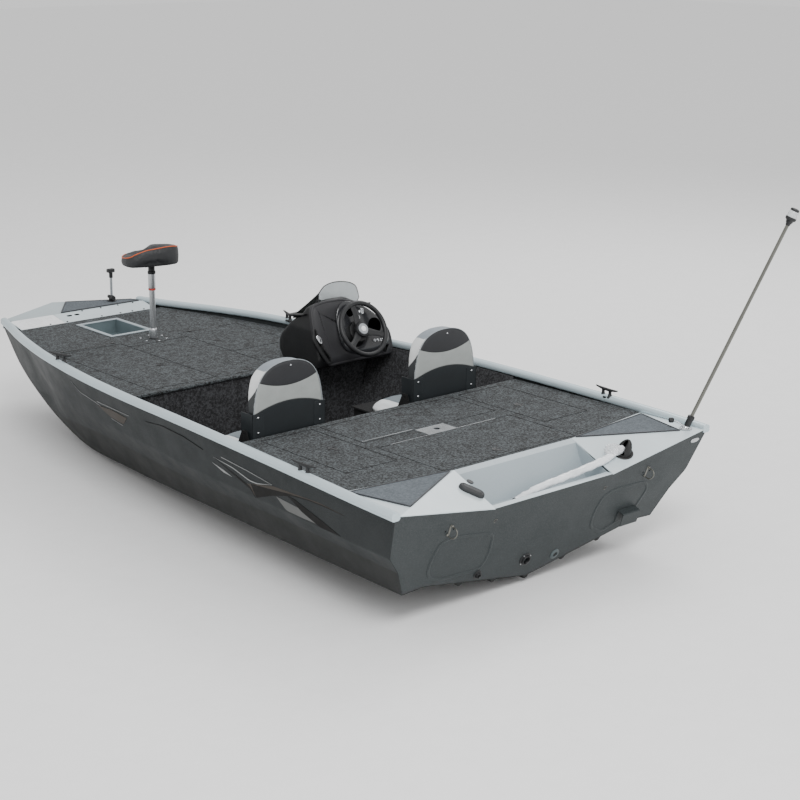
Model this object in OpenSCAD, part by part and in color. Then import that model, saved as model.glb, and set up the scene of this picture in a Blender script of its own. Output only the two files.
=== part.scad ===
// Aluminium bass boat: open fishing boat with carpeted casting decks, a side console and fold-down seats.
// X points to starboard, Y forward, Z up. The origin lies on the centreline and the design waterline,
// straight below the top edge of the transom. Sizes are millimetres. Names that end in _y are places along
// the hull at its design length, and they move with the stations when the hull is stretched.

/* [Hull] */
// Length from the transom's top edge to the nose
hull_length = 4375; // [4150:25:4600]
// Beam between the middles of the two gunwale rails
hull_beam = 1976; // [1850:2:2080]
// Thickness of the hull plating
plate = 4; // [3:0.5:6]
// Rake of the transom from vertical, in degrees
transom_rake = 20.8; // [12:0.4:24]
// Thickness of the transom plate with its core
transom_t = 30; // [20:1:40]
// Width of the notch for the motor
notch_w = 752; // [640:4:840]
// Height of the notch above the waterline
notch_z = 292; // [270:1:320]
// Width of the strakes under the bottom
strake_w = 34; // [24:1:48]
// Depth of the strakes under the bottom
strake_h = 14; // [8:1:22]

/* [Gunwale] */
// Width of the gunwale rail
rail_w = 46; // [38:1:56]
// Height of the gunwale rail
rail_h = 38; // [32:1:46]

/* [Decks] */
// Top of the stern deck above the waterline
rear_deck_z = 400; // [380:1:408]
// Front edge of the rear deck
rear_front_y = 1245; // [1180:5:1260]
// Aft edge of the rear deck
rear_deck_aft = 308; // [290:1:330]
// Top of the front deck above the waterline
front_deck_z = 368; // [350:1:376]
// Aft edge of the front deck
front_aft_y = 2300; // [2250:5:2350]
// Front edge of the front deck
front_end_y = 3935; // [3900:5:3960]
// Thickness of the decks
deck_t = 18; // [14:1:24]
// Top of the cockpit sole
sole_z = -14; // [-18:1:0]
// Thickness of the sole and of the bulkheads
board_t = 12; // [8:1:16]
// Gap round each lid
lid_gap = 3; // [2:0.5:5]
// Width of the ledge under each lid
ledge_w = 16; // [12:1:24]
// Radius of the finger latch in each lid
latch_r = 21; // [16:1:26]

/* [Rear lids] */
// Distance from the centreline to the side lids' inner edge
rear_side_in = 475; // [465:1:500]
// Distance from the centreline to the side lids' hinge
rear_side_out = 772; // [740:1:790]
// Aft edge of the side lids
side_lid_aft_y = 580; // [560:5:620]
// Front edge of the side lids
side_lid_end_y = 1190; // [1150:5:1200]
// Half width of the two middle lids
rear_mid_half = 422; // [400:1:430]
// Hinge of the aft middle lid
aft_hinge_y = 768; // [755:1:780]
// Hinge of the forward middle lid
fore_hinge_y = 872; // [862:1:885]

/* [Front lids] */
// Distance from the centreline to the seam between the lids
front_seam = 197; // [190:1:205]
// Distance from the centreline to the side lids' hinge
front_side_out = 612; // [590:1:625]
// Front edge of the side lids
front_lid_end_y = 3288; // [3270:1:3300]
// Aft edge of the port lid
port_lid_y = 2360; // [2340:5:2400]
// Aft edge of the starboard lid
star_lid_y = 2755; // [2745:5:2800]
// Front edge of the middle lid
middle_lid_end_y = 3195; // [3160:5:3200]

/* [Stern] */
// Floor of the motor well
well_z = 232; // [215:1:250]
// Diameter of the large outlet through the transom
outlet_d = 38; // [30:1:46]
// Diameter of the drain bore through the transom
drain_d = 26; // [22:1:30]

/* [Seats] */
// Width of a seat
seat_w = 450; // [420:1:466]
// Height of the backrest
back_h = 370; // [340:2:400]
// Thickness of the backrest
back_t = 84; // [70:1:90]
// Thickness of the seat cushion
cushion_t = 88; // [70:1:100]
// Length of the seat cushion
cushion_l = 385; // [350:5:400]
// Centre of the port seat from the centreline
seat_port_x = 552; // [540:1:560]
// Centre of the starboard seat from the centreline
seat_star_x = 450; // [440:1:460]
// Top of the cushions above the waterline
cushion_top = 356; // [345:1:358]

/* [Console] */
// Inboard side of the console
console_in = 308; // [300:1:320]
// Outboard side of the console
console_out = 842; // [825:1:846]
// Aft face of the console at its foot
console_y = 2122; // [2110:1:2150]
// Length of the console at its foot
console_l = 440; // [430:2:460]
// Diameter of the steering wheel
wheel_d = 326; // [300:2:340]
// Diameter of the steering wheel's rim
rim_d = 34; // [28:1:38]
// Tilt of the steering wheel from vertical, in degrees
wheel_tilt = 28; // [22:1:32]

/* [Bow seat] */
// Distance of the pedestal from the transom
pedestal_at_y = 3285; // [3270:5:3300]
// Outer diameter of the lower tube
tube_d = 44; // [38:1:50]
// Outer diameter of the upper post
post_d = 34; // [30:1:36]
// Height of the lean seat's underside above the front deck
seat_lift = 440; // [400:5:480]

/* [Lights] */
// Length of the stern light's pole
stern_pole = 1100; // [900:5:1200]
// Lean of the stern light's pole from vertical, in degrees
pole_lean = 23; // [20:0.5:30]
// Height of the bow light above its pad
bow_light_h = 205; // [180:5:230]

/* [Cleats] */
// Length of a cleat
cleat_l = 152; // [130:2:170]

/* [Hidden] */
$fn = 48;
gap = 0.3;

// Columns of the station table: distance from the transom, then half width and height of the gunwale,
// upper knuckle, lower knuckle, chine and inner chine, then height of the keel
stations = [
  [0,    988, 402, 948, 184, 870,  90, 806,  -40, 684,  -32, -165],
  [240,  988, 410, 946, 186, 874, 100, 800,  -40, 680,  -32, -165],
  [900,  965, 424, 914, 188, 850, 104, 775,  -46, 655,  -38, -166],
  [1600, 932, 430, 874, 182, 790,  70, 712,  -72, 610,  -64, -170],
  [2200, 884, 419, 820, 184, 730,  56, 646, -102, 588,  -96, -176],
  [2700, 828, 412, 752, 166, 664,  40, 568, -138, 552, -135, -184],
  [3150, 757, 410, 662, 125, 592,   5, 514, -150, 498, -147, -190],
  [3500, 672, 403, 532,  66, 508, -28, 490,  -74, 476,  -72, -152],
  [3750, 597, 396, 500,  70, 490,  48, 483,   36, 469,   38,  -78],
  [3950, 530, 392, 490, 190, 486, 176, 480,  166, 466,  168,   46],
  [4130, 476, 390, 476, 360, 476, 355, 476,  350, 462,  350,  346]];
corner_y = 4130;
nose_y = 4375;
long_k = hull_length / nose_y;
wide_k = hull_beam / 1976;
function along(y) = y * long_k;
rear_deck_front = along(rear_front_y);
front_deck_aft = along(front_aft_y);
front_deck_front = along(front_end_y);
rear_side_aft = along(side_lid_aft_y);
rear_side_front = along(side_lid_end_y);
rear_mid_hinge = along(aft_hinge_y);
bait_hinge = along(fore_hinge_y);
front_side_front = along(front_lid_end_y);
front_port_aft = along(port_lid_y);
front_star_aft = along(star_lid_y);
front_mid_front = along(middle_lid_end_y);
console_aft = along(console_y);
pedestal_y = along(pedestal_at_y);
console_nose = console_aft + console_l;
function scaled(r) = [for (j = [0:11]) j == 0 ? r[j] * long_k
  : (j == 11 || j % 2 == 0) ? r[j] : r[j] * wide_k];
base = [for (r = stations) scaled(r)];
// smooth rows between two stations, from the slopes of their neighbours
function smooth(a, b, c, d, t) = 0.5 * (2 * b + (c - a) * t + (2 * a - 5 * b + 4 * c - d) * t * t
  + (3 * b - a - 3 * c + d) * t * t * t);
last = len(base) - 1;
rows = [base[0], for (i = [1:last - 1]) for (s = [0:2])
  smooth(base[max(i - 1, 1)], base[i], base[i + 1], base[min(i + 2, last)], s / 3), base[last]];
function mix(a, b, t) = a + (b - a) * t;
function find_row(y, i = 0) = (i >= len(rows) - 2 || rows[i + 1][0] > y) ? i : find_row(y, i + 1);
function row_at(y) = let (i = find_row(y)) mix(rows[i], rows[i + 1], (y - rows[i][0]) / (rows[i + 1][0] - rows[i][0]));
// outer half width of the hull at a place along it and a height
function half_at(y, z) = let (r = row_at(y), j = z >= r[4] ? 1 : z >= r[6] ? 3 : z >= r[8] ? 5 : 7)
  z < r[8] ? r[9] * (z - r[11]) / (r[10] - r[11])
  : mix(r[j + 2], r[j], (z - r[j + 3]) / (r[j + 1] - r[j + 3]));
skin_gap = 2;
function inside_at(y, z) = half_at(y, z < row_at(y)[6] ? z - plate : z) - plate - skin_gap;
rail_in = rail_w * 0.56;
rail_out = rail_w - rail_in;
rail_low = rail_h * 0.5;
function rail_inner(y) = row_at(y)[1] - rail_in - gap;
rake = tan(transom_rake);
top_z = base[0][2];
function rake_y(z) = rake * (top_z - z);
bow_y = corner_y * long_k;
push_from = along(3400);
function push(y) = y < push_from ? 0 : (hull_length - bow_y) * (y - push_from) / (bow_y - push_from);
// rows strictly between two places along the hull
function rows_between(a, b) = concat([a], [for (r = rows) if (r[0] > a + 8 && r[0] < b - 8) r[0]], [b]);

// closes a skin given by rows of outer and inner points
module shell(outer, inner) {
  n = len(outer[0]);
  m = len(outer);
  points = [for (i = [0:m - 1]) each concat(outer[i], inner[i])];
  function at(i, j) = i * 2 * n + j;
  function quad(a, b, c, d) = [[a, c, b], [a, d, c]];
  faces = [
    for (i = [0:m - 2]) for (j = [0:n - 2]) each quad(at(i, j), at(i, j + 1), at(i + 1, j + 1), at(i + 1, j)),
    for (i = [0:m - 2]) for (j = [n:2 * n - 2]) each quad(at(i, j + 1), at(i, j), at(i + 1, j), at(i + 1, j + 1)),
    for (i = [0:m - 2]) each quad(at(i, n), at(i, 0), at(i + 1, 0), at(i + 1, n)),
    for (i = [0:m - 2]) each quad(at(i, n - 1), at(i, 2 * n - 1), at(i + 1, 2 * n - 1), at(i + 1, n - 1)),
    for (j = [0:n - 2]) each quad(at(0, j + 1), at(0, j), at(0, n + j), at(0, n + j + 1)),
    for (j = [0:n - 2]) each quad(at(m - 1, j), at(m - 1, j + 1), at(m - 1, n + j + 1), at(m - 1, n + j))];
  polyhedron(points = points, faces = faces, convexity = 6);
}

// skins a list of closed rings with equal point counts
module tube(rings) {
  n = len(rings[0]);
  m = len(rings);
  points = [for (r = rings) each r];
  faces = [
    for (i = [0:m - 2]) for (j = [0:n - 1]) each [
      [i * n + j, (i + 1) * n + (j + 1) % n, i * n + (j + 1) % n],
      [i * n + j, (i + 1) * n + j, (i + 1) * n + (j + 1) % n]],
    [for (j = [0:n - 1]) j],
    [for (j = [n - 1:-1:0]) (m - 1) * n + j]];
  polyhedron(points = points, faces = faces, convexity = 4);
}

// a point of the hull: the first row lies in the raked transom, the others stand upright
function hull_point(i, x0, z0, x1, z1) = i > 0 ? [x0, rows[i][0], z0]
  : let (t = rake_y(z0) / rows[1][0]) [mix(x0, x1, t), rake_y(mix(z0, z1, t)), mix(z0, z1, t)];
function side_row(i, t) = let (r = rows[i], q = rows[min(i + 1, len(rows) - 1)]) [
  for (j = [1, 3, 5, 7]) let (dz = j == 1 ? -rail_low : j == 7 ? t : 0)
    hull_point(i, r[j] - t, r[j + 1] + dz, q[j] - t, q[j + 1] + dz)];
row_ids = [0:len(rows) - 1];
// the side is plated in lengths that meet edge to edge; each starts a hair after the one behind it
side_joints = [0, 6, 10, 14, 18, len(rows) - 1];
function side_start(i, t) = let (a = side_row(i, t), b = side_row(i + 1, t), f = gap / (b[0][1] - a[0][1]))
  i > 0 ? [for (j = [0:3]) mix(a[j], b[j], f)] : a;
function plating(a, b, t) = concat([side_start(a, t)], [for (i = [a + 1:b]) side_row(i, t)]);
module starboard_side() for (k = [0:len(side_joints) - 2]) {
  a = side_joints[k];
  b = side_joints[k + 1];
  shell(plating(a, b, 0), plating(a, b, plate));
}
module side_starboard() color([0.36, 0.39, 0.39]) starboard_side();
module side_port() color([0.36, 0.39, 0.39]) mirror([1, 0, 0]) starboard_side();

function mirrored(p) = [-p[0], p[1], p[2]];
// bottom: one skin whose strakes and keel are pressed out of it as low trapezoid ribs
strake_x = [448 * wide_k, 226 * wide_k];
function bottom_z(r, x) = mix(r[11], r[10], x / r[9]);
function bottom_point(i, x, dz) = let (r = rows[i], q = rows[min(i + 1, len(rows) - 1)],
  a = min(x, r[9] - 1), b = min(x, q[9] - 1))
  hull_point(i, a, bottom_z(r, a) + dz, b, bottom_z(q, b) + dz) + [0, push(r[0]) * (1 - a / r[7]), 0];
function bottom_row(i, t) = let (r = rows[i], q = rows[min(i + 1, len(rows) - 1)],
  low = t > 0 ? t : r[0] < along(3300) ? -strake_h : 0,
  c = hull_point(i, r[7] - t, r[8] + t, q[7] - t, q[8] + t),
  d = hull_point(i, r[9], r[10] + t, q[9], q[10] + t) + [0, push(r[0]) * (1 - r[9] / r[7]), 0],
  side = [c, d, for (x = strake_x) each [bottom_point(i, x + strake_w / 2, t), bottom_point(i, x + strake_w / 5, low),
    bottom_point(i, x - strake_w / 5, low), bottom_point(i, x - strake_w / 2, t)],
    bottom_point(i, strake_w / 2, t), bottom_point(i, strake_w / 3, low)])
  concat(side, [bottom_point(i, 0, low)], [for (j = [len(side) - 1:-1:0]) mirrored(side[j])]);
module bottom() color([0.27, 0.29, 0.29])
  shell([for (i = row_ids) bottom_row(i, 0)], [for (i = row_ids) bottom_row(i, plate)]);

// transom plate, drawn in its own raked plane
module in_transom() translate([0, 0, top_z]) rotate([90 + transom_rake, 0, 0]) children();
function flat_z(z) = (z - top_z) / cos(transom_rake);
function edge_point(j, dx, dz) = let (p = hull_point(0, rows[0][j] - dx, rows[0][j + 1] + dz,
  rows[1][j] - dx, rows[1][j + 1] + dz)) [p[0], flat_z(p[2])];
skin = plate + gap;
deck_corner_x = rail_inner(0);
transom_side = [
  [notch_w / 2, flat_z(notch_z)], [notch_w / 2 + gap, flat_z(notch_z) - gap],
  [deck_corner_x, flat_z(top_z) - gap], [deck_corner_x, flat_z(top_z - rail_low - gap)],
  [rows[0][1] - skin, flat_z(top_z - rail_low - gap)],
  edge_point(3, skin, 0), edge_point(5, skin, 0), edge_point(7, skin, skin), edge_point(9, 0, skin)];
keel_edge = [0, flat_z(hull_point(0, 0, rows[0][11] + skin, 0, rows[1][11] + skin)[2])];
module transom() color([0.30, 0.33, 0.33]) difference() {
  in_transom() difference() {
    translate([0, 0, -transom_t]) linear_extrude(transom_t) polygon(concat(transom_side, [keel_edge],
      [for (i = [len(transom_side) - 1:-1:0]) [-transom_side[i][0], transom_side[i][1]]]));
    for (b = bores) translate([b[0], flat_z(b[1]), -transom_t - 1]) cylinder(d = b[2], h = transom_t + 2);
    for (s = [-1, 1]) for (e = [-eye_w / 2, eye_w / 2])
      translate([s * eye_x + e, flat_z(eye_z), -eye_deep - gap]) cylinder(d = eye_rod + 2 * gap, h = eye_deep + 1);
  }
  translate([-notch_w / 2 - 1, 0, notch_z]) cube([notch_w + 2, 2 * transom_t + 60, 120]);
  for (s = [0, 1]) mirror([s, 0, 0]) translate([deck_corner_x - 2, -1, top_z - rail_low - gap - 0.1]) cube([3 * rail_w, 2 * transom_t + 60, 120]);
  for (s = [0, 1]) mirror([s, 0, 0]) stern_prism(-plate, 120);
}
// bores through the transom: distance from the centreline, height, diameter
bores = [[-47, -62, outlet_d], [-349, -60, 20], [156, -88, drain_d]];
eye_x = 630;
eye_z = 246;
eye_w = 46;
eye_rod = 9;
eye_deep = 12;
flange_t = 4;

// tie-down eyes, outlet flanges, drain ring and the folded bracket
module transom_fittings() {
  in_transom() {
    for (s = [-1, 1]) color([0.8, 0.81, 0.83]) translate([s * eye_x, flat_z(eye_z), 0]) {
      for (e = [-eye_w / 2, eye_w / 2]) translate([e, 0, -eye_deep]) cylinder(d = eye_rod, h = eye_deep + 22);
      translate([0, 0, 22]) rotate([90, 0, 0]) rotate_extrude(angle = 180)
        translate([eye_w / 2, 0]) circle(d = eye_rod);
      linear_extrude(2.5) difference() {
        hull() for (e = [-eye_w / 2, eye_w / 2]) translate([e, 0]) circle(d = 24);
        for (e = [-eye_w / 2, eye_w / 2]) translate([e, 0]) circle(d = eye_rod);
      }
    }
    for (b = bores) color([0.08, 0.08, 0.09]) translate([b[0], flat_z(b[1]), 0]) difference() {
      union() {
        cylinder(d = b[2] + 30, h = flange_t);
        cylinder(d = b[2] + 12, h = flange_t + 9);
      }
      translate([0, 0, -1]) cylinder(d = b[2], h = flange_t + 12);
    }
    color([0.30, 0.33, 0.33]) translate([bracket_x, flat_z(bracket_z), 0]) {
      translate([-bracket_w / 2, -bracket_h / 2, 0]) cube([bracket_w, bracket_h, 3]);
      translate([-bracket_w / 2, -bracket_h / 2, 0]) cube([bracket_w, 3, bracket_out]);
      translate([-bracket_w / 2, -bracket_h / 2 - 42, bracket_out - 3]) cube([bracket_w, 45, 3]);
    }
  }
}
bracket_x = 585;
bracket_z = 38;
bracket_w = 118;
bracket_h = 120;
bracket_out = 38;

// gunwale rail: a rounded section carried along the sheer
rail_section = [[-1, -0.5], [-1, 0.3], [-0.78, 0.8], [-0.3, 1], [0.35, 1], [0.8, 0.72], [1, 0.2], [1, -0.35],
  [0.8, -0.85], [0.45, -1], [-0.55, -1]];
module starboard_rail() {
  tube([for (r = rows) [for (p = rail_section)
    [r[1] + (p[0] < 0 ? p[0] * rail_in : p[0] * rail_out), r[0], r[2] + p[1] * rail_low]]]);
}
module gunwales() color([0.65, 0.71, 0.74]) {
  starboard_rail();
  mirror([1, 0, 0]) starboard_rail();
}

// bow cap: top plate with a turned-down edge over the blunt nose
cap_z = rows[len(rows) - 1][2] + 2;
cap_aft = bow_y - 55;
cap_in = rail_inner(bow_y);
end_half = rows[len(rows) - 1][7];
edge_out = gap;
nose_slope = (hull_length - bow_y) / end_half;
function nose_line(x, out) = bow_y + out * 1.12 + (end_half - abs(x)) * nose_slope;
skirt_h = 48;
module cap_outline(out) polygon([[-end_half - out, bow_y + gap], [-end_half - out, nose_line(end_half + out, out)],
  [0, nose_line(0, out)], [end_half + out, nose_line(end_half + out, out)], [end_half + out, bow_y + gap]]);
module bow_cap() color([0.60, 0.65, 0.69]) {
  difference() {
    union() {
      translate([0, 0, cap_z - skirt_h]) linear_extrude(skirt_h) cap_outline(edge_out + plate);
      translate([-cap_in, cap_aft, cap_z - plate]) cube([2 * cap_in, bow_y - cap_aft + 2, plate]);
    }
    translate([0, 0, cap_z - skirt_h - plate]) linear_extrude(skirt_h)
      polygon([[-end_half - 30, bow_y - 30], [-end_half - edge_out, bow_y - 1],
        [-end_half - edge_out, nose_line(end_half + edge_out, edge_out)], [0, nose_line(0, edge_out)],
        [end_half + edge_out, nose_line(end_half + edge_out, edge_out)], [end_half + edge_out, bow_y - 1],
        [end_half + 30, bow_y - 30]]);
  }
}
// non-slip pad on the starboard half of the cap
pad_t = 4;
pad_in = -112;
module bow_pad() translate([0, 0, cap_z]) linear_extrude(pad_t)
  polygon([[pad_in, cap_aft + 8], [62, nose_line(62, -18)], [cap_in - 30, nose_line(cap_in - 30, -18)],
    [cap_in - 8, cap_aft + 8]]);

// sloping panel between the front deck and the bow cap
riser_low = [front_deck_front + gap, front_deck_z];
riser_high = [cap_aft, cap_z - plate];
riser_split = -172;
module riser(x0, x1) {
  rotate([90, 0, 90]) translate([0, 0, x0]) linear_extrude(x1 - x0) polygon([
    [riser_low[0], riser_low[1] - deck_t], [riser_low[0] + 3, riser_low[1] - deck_t],
    [riser_low[0] + 3, riser_low[1] - 3], riser_high, [riser_high[0], riser_high[1] + plate],
    [riser_low[0], riser_low[1]]]);
}
riser_half = rail_inner(bow_y - 60) - 1;
module bow_riser() {
  color([0.80, 0.82, 0.84]) riser(-riser_half, riser_split - 1);
  color([0.72, 0.75, 0.78]) difference() {
    riser(riser_split + 1, riser_half);
    for (x = [-90, -38]) translate([x, (riser_low[0] + riser_high[0]) / 2 + 20, cap_z - 60])
      linear_extrude(80) for (e = [-7, 7]) translate([e, 0]) circle(d = 20);
  }
}

// winch eye low on the stem: a bar bent round, with its two ends on the skin
eye_i = len(rows) - 3;
function stem(i) = [rows[i][0] + push(rows[i][0]), rows[i][11]];
stem_mid = (stem(eye_i) + stem(eye_i + 1)) / 2;
stem_run = stem(eye_i + 1) - stem(eye_i);
bow_eye_r = 22;
bow_eye_rod = 11;
bow_eye_arm = 30;
module bow_eye() color([0.8, 0.81, 0.83]) translate([0, stem_mid[0], stem_mid[1]])
  rotate([-atan2(stem_run[0], stem_run[1]), 0, 0]) translate([0, gap, 0]) {
    for (e = [-bow_eye_r, bow_eye_r]) translate([0, 0, e]) rotate([-90, 0, 0]) cylinder(d = bow_eye_rod, h = bow_eye_arm);
    translate([0, bow_eye_arm, 0]) rotate([0, 90, 0]) rotate_extrude(angle = 180)
      translate([bow_eye_r, 0]) circle(d = bow_eye_rod);
  }

// decks: flat boards inside the rails, with a rounded front or aft edge
module board(points, top, t) translate([0, 0, top - t]) linear_extrude(t) polygon(points);
function both(p) = concat(p, [for (i = [len(p) - 1:-1:0]) [-p[i][0], p[i][1]]]);
module nose_bar(y, top) translate([0, y, top - deck_t / 2]) rotate([0, 90, 0])
  cylinder(d = deck_t, h = 2 * rail_inner(y) - 2, center = true);
module hole(x0, x1, y0, y1, top) translate([x0 - lid_gap, y0 - lid_gap, top - deck_t - 1])
  cube([x1 - x0 + 2 * lid_gap, y1 - y0 + 2 * lid_gap, deck_t + 2]);
// ledge frame that hangs under an opening and carries the lid
ledge_t = 3;
module ledge(x0, x1, y0, y1, top) translate([0, 0, top - deck_t - ledge_t]) difference() {
  translate([x0 - lid_gap - 8, y0 - lid_gap - 8, 0]) cube([x1 - x0 + 2 * lid_gap + 16, y1 - y0 + 2 * lid_gap + 16, ledge_t]);
  translate([x0 + ledge_w, y0 + ledge_w, -1]) cube([x1 - x0 - 2 * ledge_w, y1 - y0 - 2 * ledge_w, ledge_t + 2]);
}
// lid with its finger latch: a recessed cup with a pull inside
lid_t = deck_t - gap;
module lid(x0, x1, y0, y1, top, lx, ly) {
  color([0.34, 0.36, 0.37]) difference() {
    translate([x0, y0, top - lid_t]) cube([x1 - x0, y1 - y0, lid_t]);
    translate([lx, ly, top - 9]) cylinder(r = latch_r, h = 10);
  }
  color([0.06, 0.06, 0.07]) {
    translate([lx, ly, top - 9]) difference() {
      cylinder(r = latch_r, h = 10.5);
      translate([0, 0, 2]) cylinder(r = latch_r - 5, h = 9);
    }
    translate([lx, ly, top - 8]) cylinder(r = 6, h = 8);
    translate([lx - 5, ly - latch_r + 3, top - 3.5]) cube([10, 2 * latch_r - 6, 3]);
  }
}
// lids: inner and outer edge, aft and front edge, place of the latch
front_middle = [-front_seam + lid_gap / 2, front_seam - lid_gap / 2, front_deck_aft + 45, front_mid_front];
front_port = [-front_side_out, -front_seam - lid_gap / 2, front_port_aft, front_side_front];
front_star = [front_seam + lid_gap / 2, front_side_out, front_star_aft, front_side_front];
rear_port = [-rear_side_out, -rear_side_in, rear_side_aft, rear_side_front];
rear_star = [rear_side_in, rear_side_out, rear_side_aft, rear_side_front];
rear_fwd = [-rear_mid_half, rear_mid_half, bait_hinge, rear_side_front];
rear_aft = [-rear_mid_half, rear_mid_half, rear_deck_aft + 24, rear_mid_hinge];
module cut(a, top) hole(a[0], a[1], a[2], a[3], top);
module rim(a, top) ledge(a[0], a[1], a[2], a[3], top);
module cover(a, top, lx, ly) lid(a[0], a[1], a[2], a[3], top, lx, ly);

// foot pedal tray sunk in the front deck
tray = [-134, 106, along(3470), along(3822)];
tray_deep = 78;
rim_w = 14;
module pedal_tray() color([0.58, 0.61, 0.63]) difference() {
  union() {
    translate([tray[0] - rim_w, tray[2] - rim_w, front_deck_z]) cube([tray[1] - tray[0] + 2 * rim_w, tray[3] - tray[2] + 2 * rim_w, 2.5]);
    translate([tray[0], tray[2], front_deck_z - tray_deep]) cube([tray[1] - tray[0], tray[3] - tray[2], tray_deep + 1]);
  }
  translate([tray[0] + 3, tray[2] + 3, front_deck_z - tray_deep + 3])
    cube([tray[1] - tray[0] - 6, tray[3] - tray[2] - 6, tray_deep + 3]);
}

// pedestal socket under the lean seat
pedestal_x = 22;
run_gap = 0.05;
socket_r = post_d / 2 + run_gap;
post_low = 300;
flange_d = 170;
module front_deck() color([0.34, 0.36, 0.37]) difference() {
  union() {
    board(both([for (y = rows_between(front_deck_aft + deck_t / 2, front_deck_front)) [rail_inner(y), y]]), front_deck_z, deck_t);
    nose_bar(front_deck_aft + deck_t / 2, front_deck_z);
  }
  cut(front_port, front_deck_z);
  cut(front_star, front_deck_z);
  cut(front_middle, front_deck_z);
  translate([tray[0] - gap, tray[2] - gap, front_deck_z - deck_t - 1])
    cube([tray[1] - tray[0] + 2 * gap, tray[3] - tray[2] + 2 * gap, deck_t + 2]);
  translate([pedestal_x, pedestal_y, front_deck_z - deck_t - 1]) cylinder(d = tube_d + 2 * gap, h = deck_t + 2);
}
module front_lid_port() cover(front_port, front_deck_z, -287, along(2754));
module front_lid_starboard() cover(front_star, front_deck_z, 284, (front_star_aft + front_side_front) / 2);
module front_lid_middle() cover(front_middle, front_deck_z, 28, front_middle[2] + 42);

// cross-section of the inside of the hull at one place, between two heights
function section(y, low, high) = let (r = row_at(y),
  zs = [low, for (j = [8, 6, 4]) if (r[j] > low + 2 && r[j] < high - 2) r[j], high])
  both([for (z = zs) [inside_at(y, z), z]]);
module bulkhead(y, low, high) translate([0, y + board_t, 0]) rotate([90, 0, 0]) linear_extrude(board_t)
  polygon([for (p = section(y, low, high)) [sign(p[0]) * min(abs(p[0]), inside_at(y + board_t, p[1])), p[1]]]);
front_board_y = front_deck_aft + deck_t / 2 + 4;
rear_board_y = rear_deck_front - deck_t / 2 - 4 - board_t;
under_rear = rear_deck_z - deck_t;
under_front = front_deck_z - deck_t;
module bulkheads() color([0.24, 0.23, 0.24]) {
  bulkhead(front_board_y, sole_z, under_front);
  bulkhead(rear_board_y, sole_z, under_rear);
}

// walls of the storage bins below the lids, with the ledges
wall_t = 6;
module wall_y(x, y0, y1, top) translate([x - wall_t / 2, y0, sole_z]) cube([wall_t, y1 - y0, top - sole_z]);
module wall_x(y, x0, x1, top) translate([x0, y - wall_t / 2, sole_z]) cube([x1 - x0, wall_t, top - sole_z]);
front_wall_y = front_side_front + lid_gap + 14;
module front_bins() color([0.42, 0.44, 0.45]) {
  difference() {
    union() {
      rim(front_port, front_deck_z);
      rim(front_star, front_deck_z);
      rim(front_middle, front_deck_z);
      for (s = [-1, 1]) wall_y(s * front_seam, front_board_y + board_t + gap, front_wall_y, under_front - ledge_t);
      bulkhead_wall(front_wall_y, under_front);
    }
    translate([pedestal_x, pedestal_y, sole_z - 1]) cylinder(d = tube_d + 2 * gap, h = front_deck_z);
  }
}
module bulkhead_wall(y, top) translate([0, y + wall_t, 0]) rotate([90, 0, 0]) linear_extrude(wall_t)
  polygon([for (p = section(y, sole_z, top)) [sign(p[0]) * min(abs(p[0]), inside_at(y + wall_t, p[1])), p[1]]]);
// four bars under the edges of one lid of the rear deck
bar_out = 8;
bar_w = lid_gap + bar_out + ledge_w;
module bars(a, top) translate([0, 0, top - deck_t - ledge_t]) for (s = [0, 1]) {
  translate([s == 0 ? a[0] - lid_gap - bar_out : a[1] - ledge_w, a[2] + ledge_w + gap, 0])
    cube([bar_w, a[3] - a[2] - 2 * ledge_w - 2 * gap, ledge_t]);
  translate([a[0] - lid_gap - bar_out, s == 0 ? a[2] - lid_gap - bar_out : a[3] - ledge_w, 0])
    cube([a[1] - a[0] + 2 * lid_gap + 2 * bar_out, bar_w, ledge_t]);
}
rear_wall_x = (rear_side_in + rear_mid_half) / 2;
rear_wall_y = bait_hinge - 24;
module rear_bins() color([0.42, 0.44, 0.45]) {
  wall_top = under_rear - ledge_t - gap;
  side = rear_wall_x - wall_t / 2 - gap;
  for (a = [rear_port, rear_star, rear_fwd, rear_aft]) bars(a, rear_deck_z);
  for (s = [-1, 1]) wall_y(s * rear_wall_x, rear_deck_aft + 14, rear_board_y - gap, wall_top);
  wall_x(rear_wall_y, -side, side, wall_top);
  difference() {
    bulkhead_wall(rear_side_aft - lid_gap - 22, wall_top);
    translate([-rear_wall_x - wall_t / 2 - gap, 0, sole_z - 1])
      cube([2 * rear_wall_x + wall_t + 2 * gap, hull_length, rear_deck_z]);
  }
}

// sole from the transom to the front wall
sole_front = along(3420);
sole_aft = rake_y(sole_z - board_t) + transom_t / cos(transom_rake) + 2;
module sole() color([0.24, 0.23, 0.24]) board(both([for (y = rows_between(sole_aft, sole_front))
  [min(inside_at(y, sole_z - board_t), inside_at(y, sole_z)), y]]), sole_z, board_t);

// carpeted liners on the sides of the cockpit
liner_in = 22;
liner_t = 6;
liner_low = sole_z + gap;
liner_ys = rows_between(rear_deck_front + gap, front_deck_aft - gap);
function liner_row(y, d) = let (r = row_at(y)) [for (z = [r[2] - rail_low - gap, r[4], r[6], liner_low])
  [half_at(y, z) - d, y, z]];
module starboard_liner() shell([for (y = liner_ys) liner_row(y, liner_in)],
  [for (y = liner_ys) liner_row(y, liner_in + liner_t)]);
module liners() color([0.24, 0.23, 0.24]) {
  starboard_liner();
  mirror([1, 0, 0]) starboard_liner();
}

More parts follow.
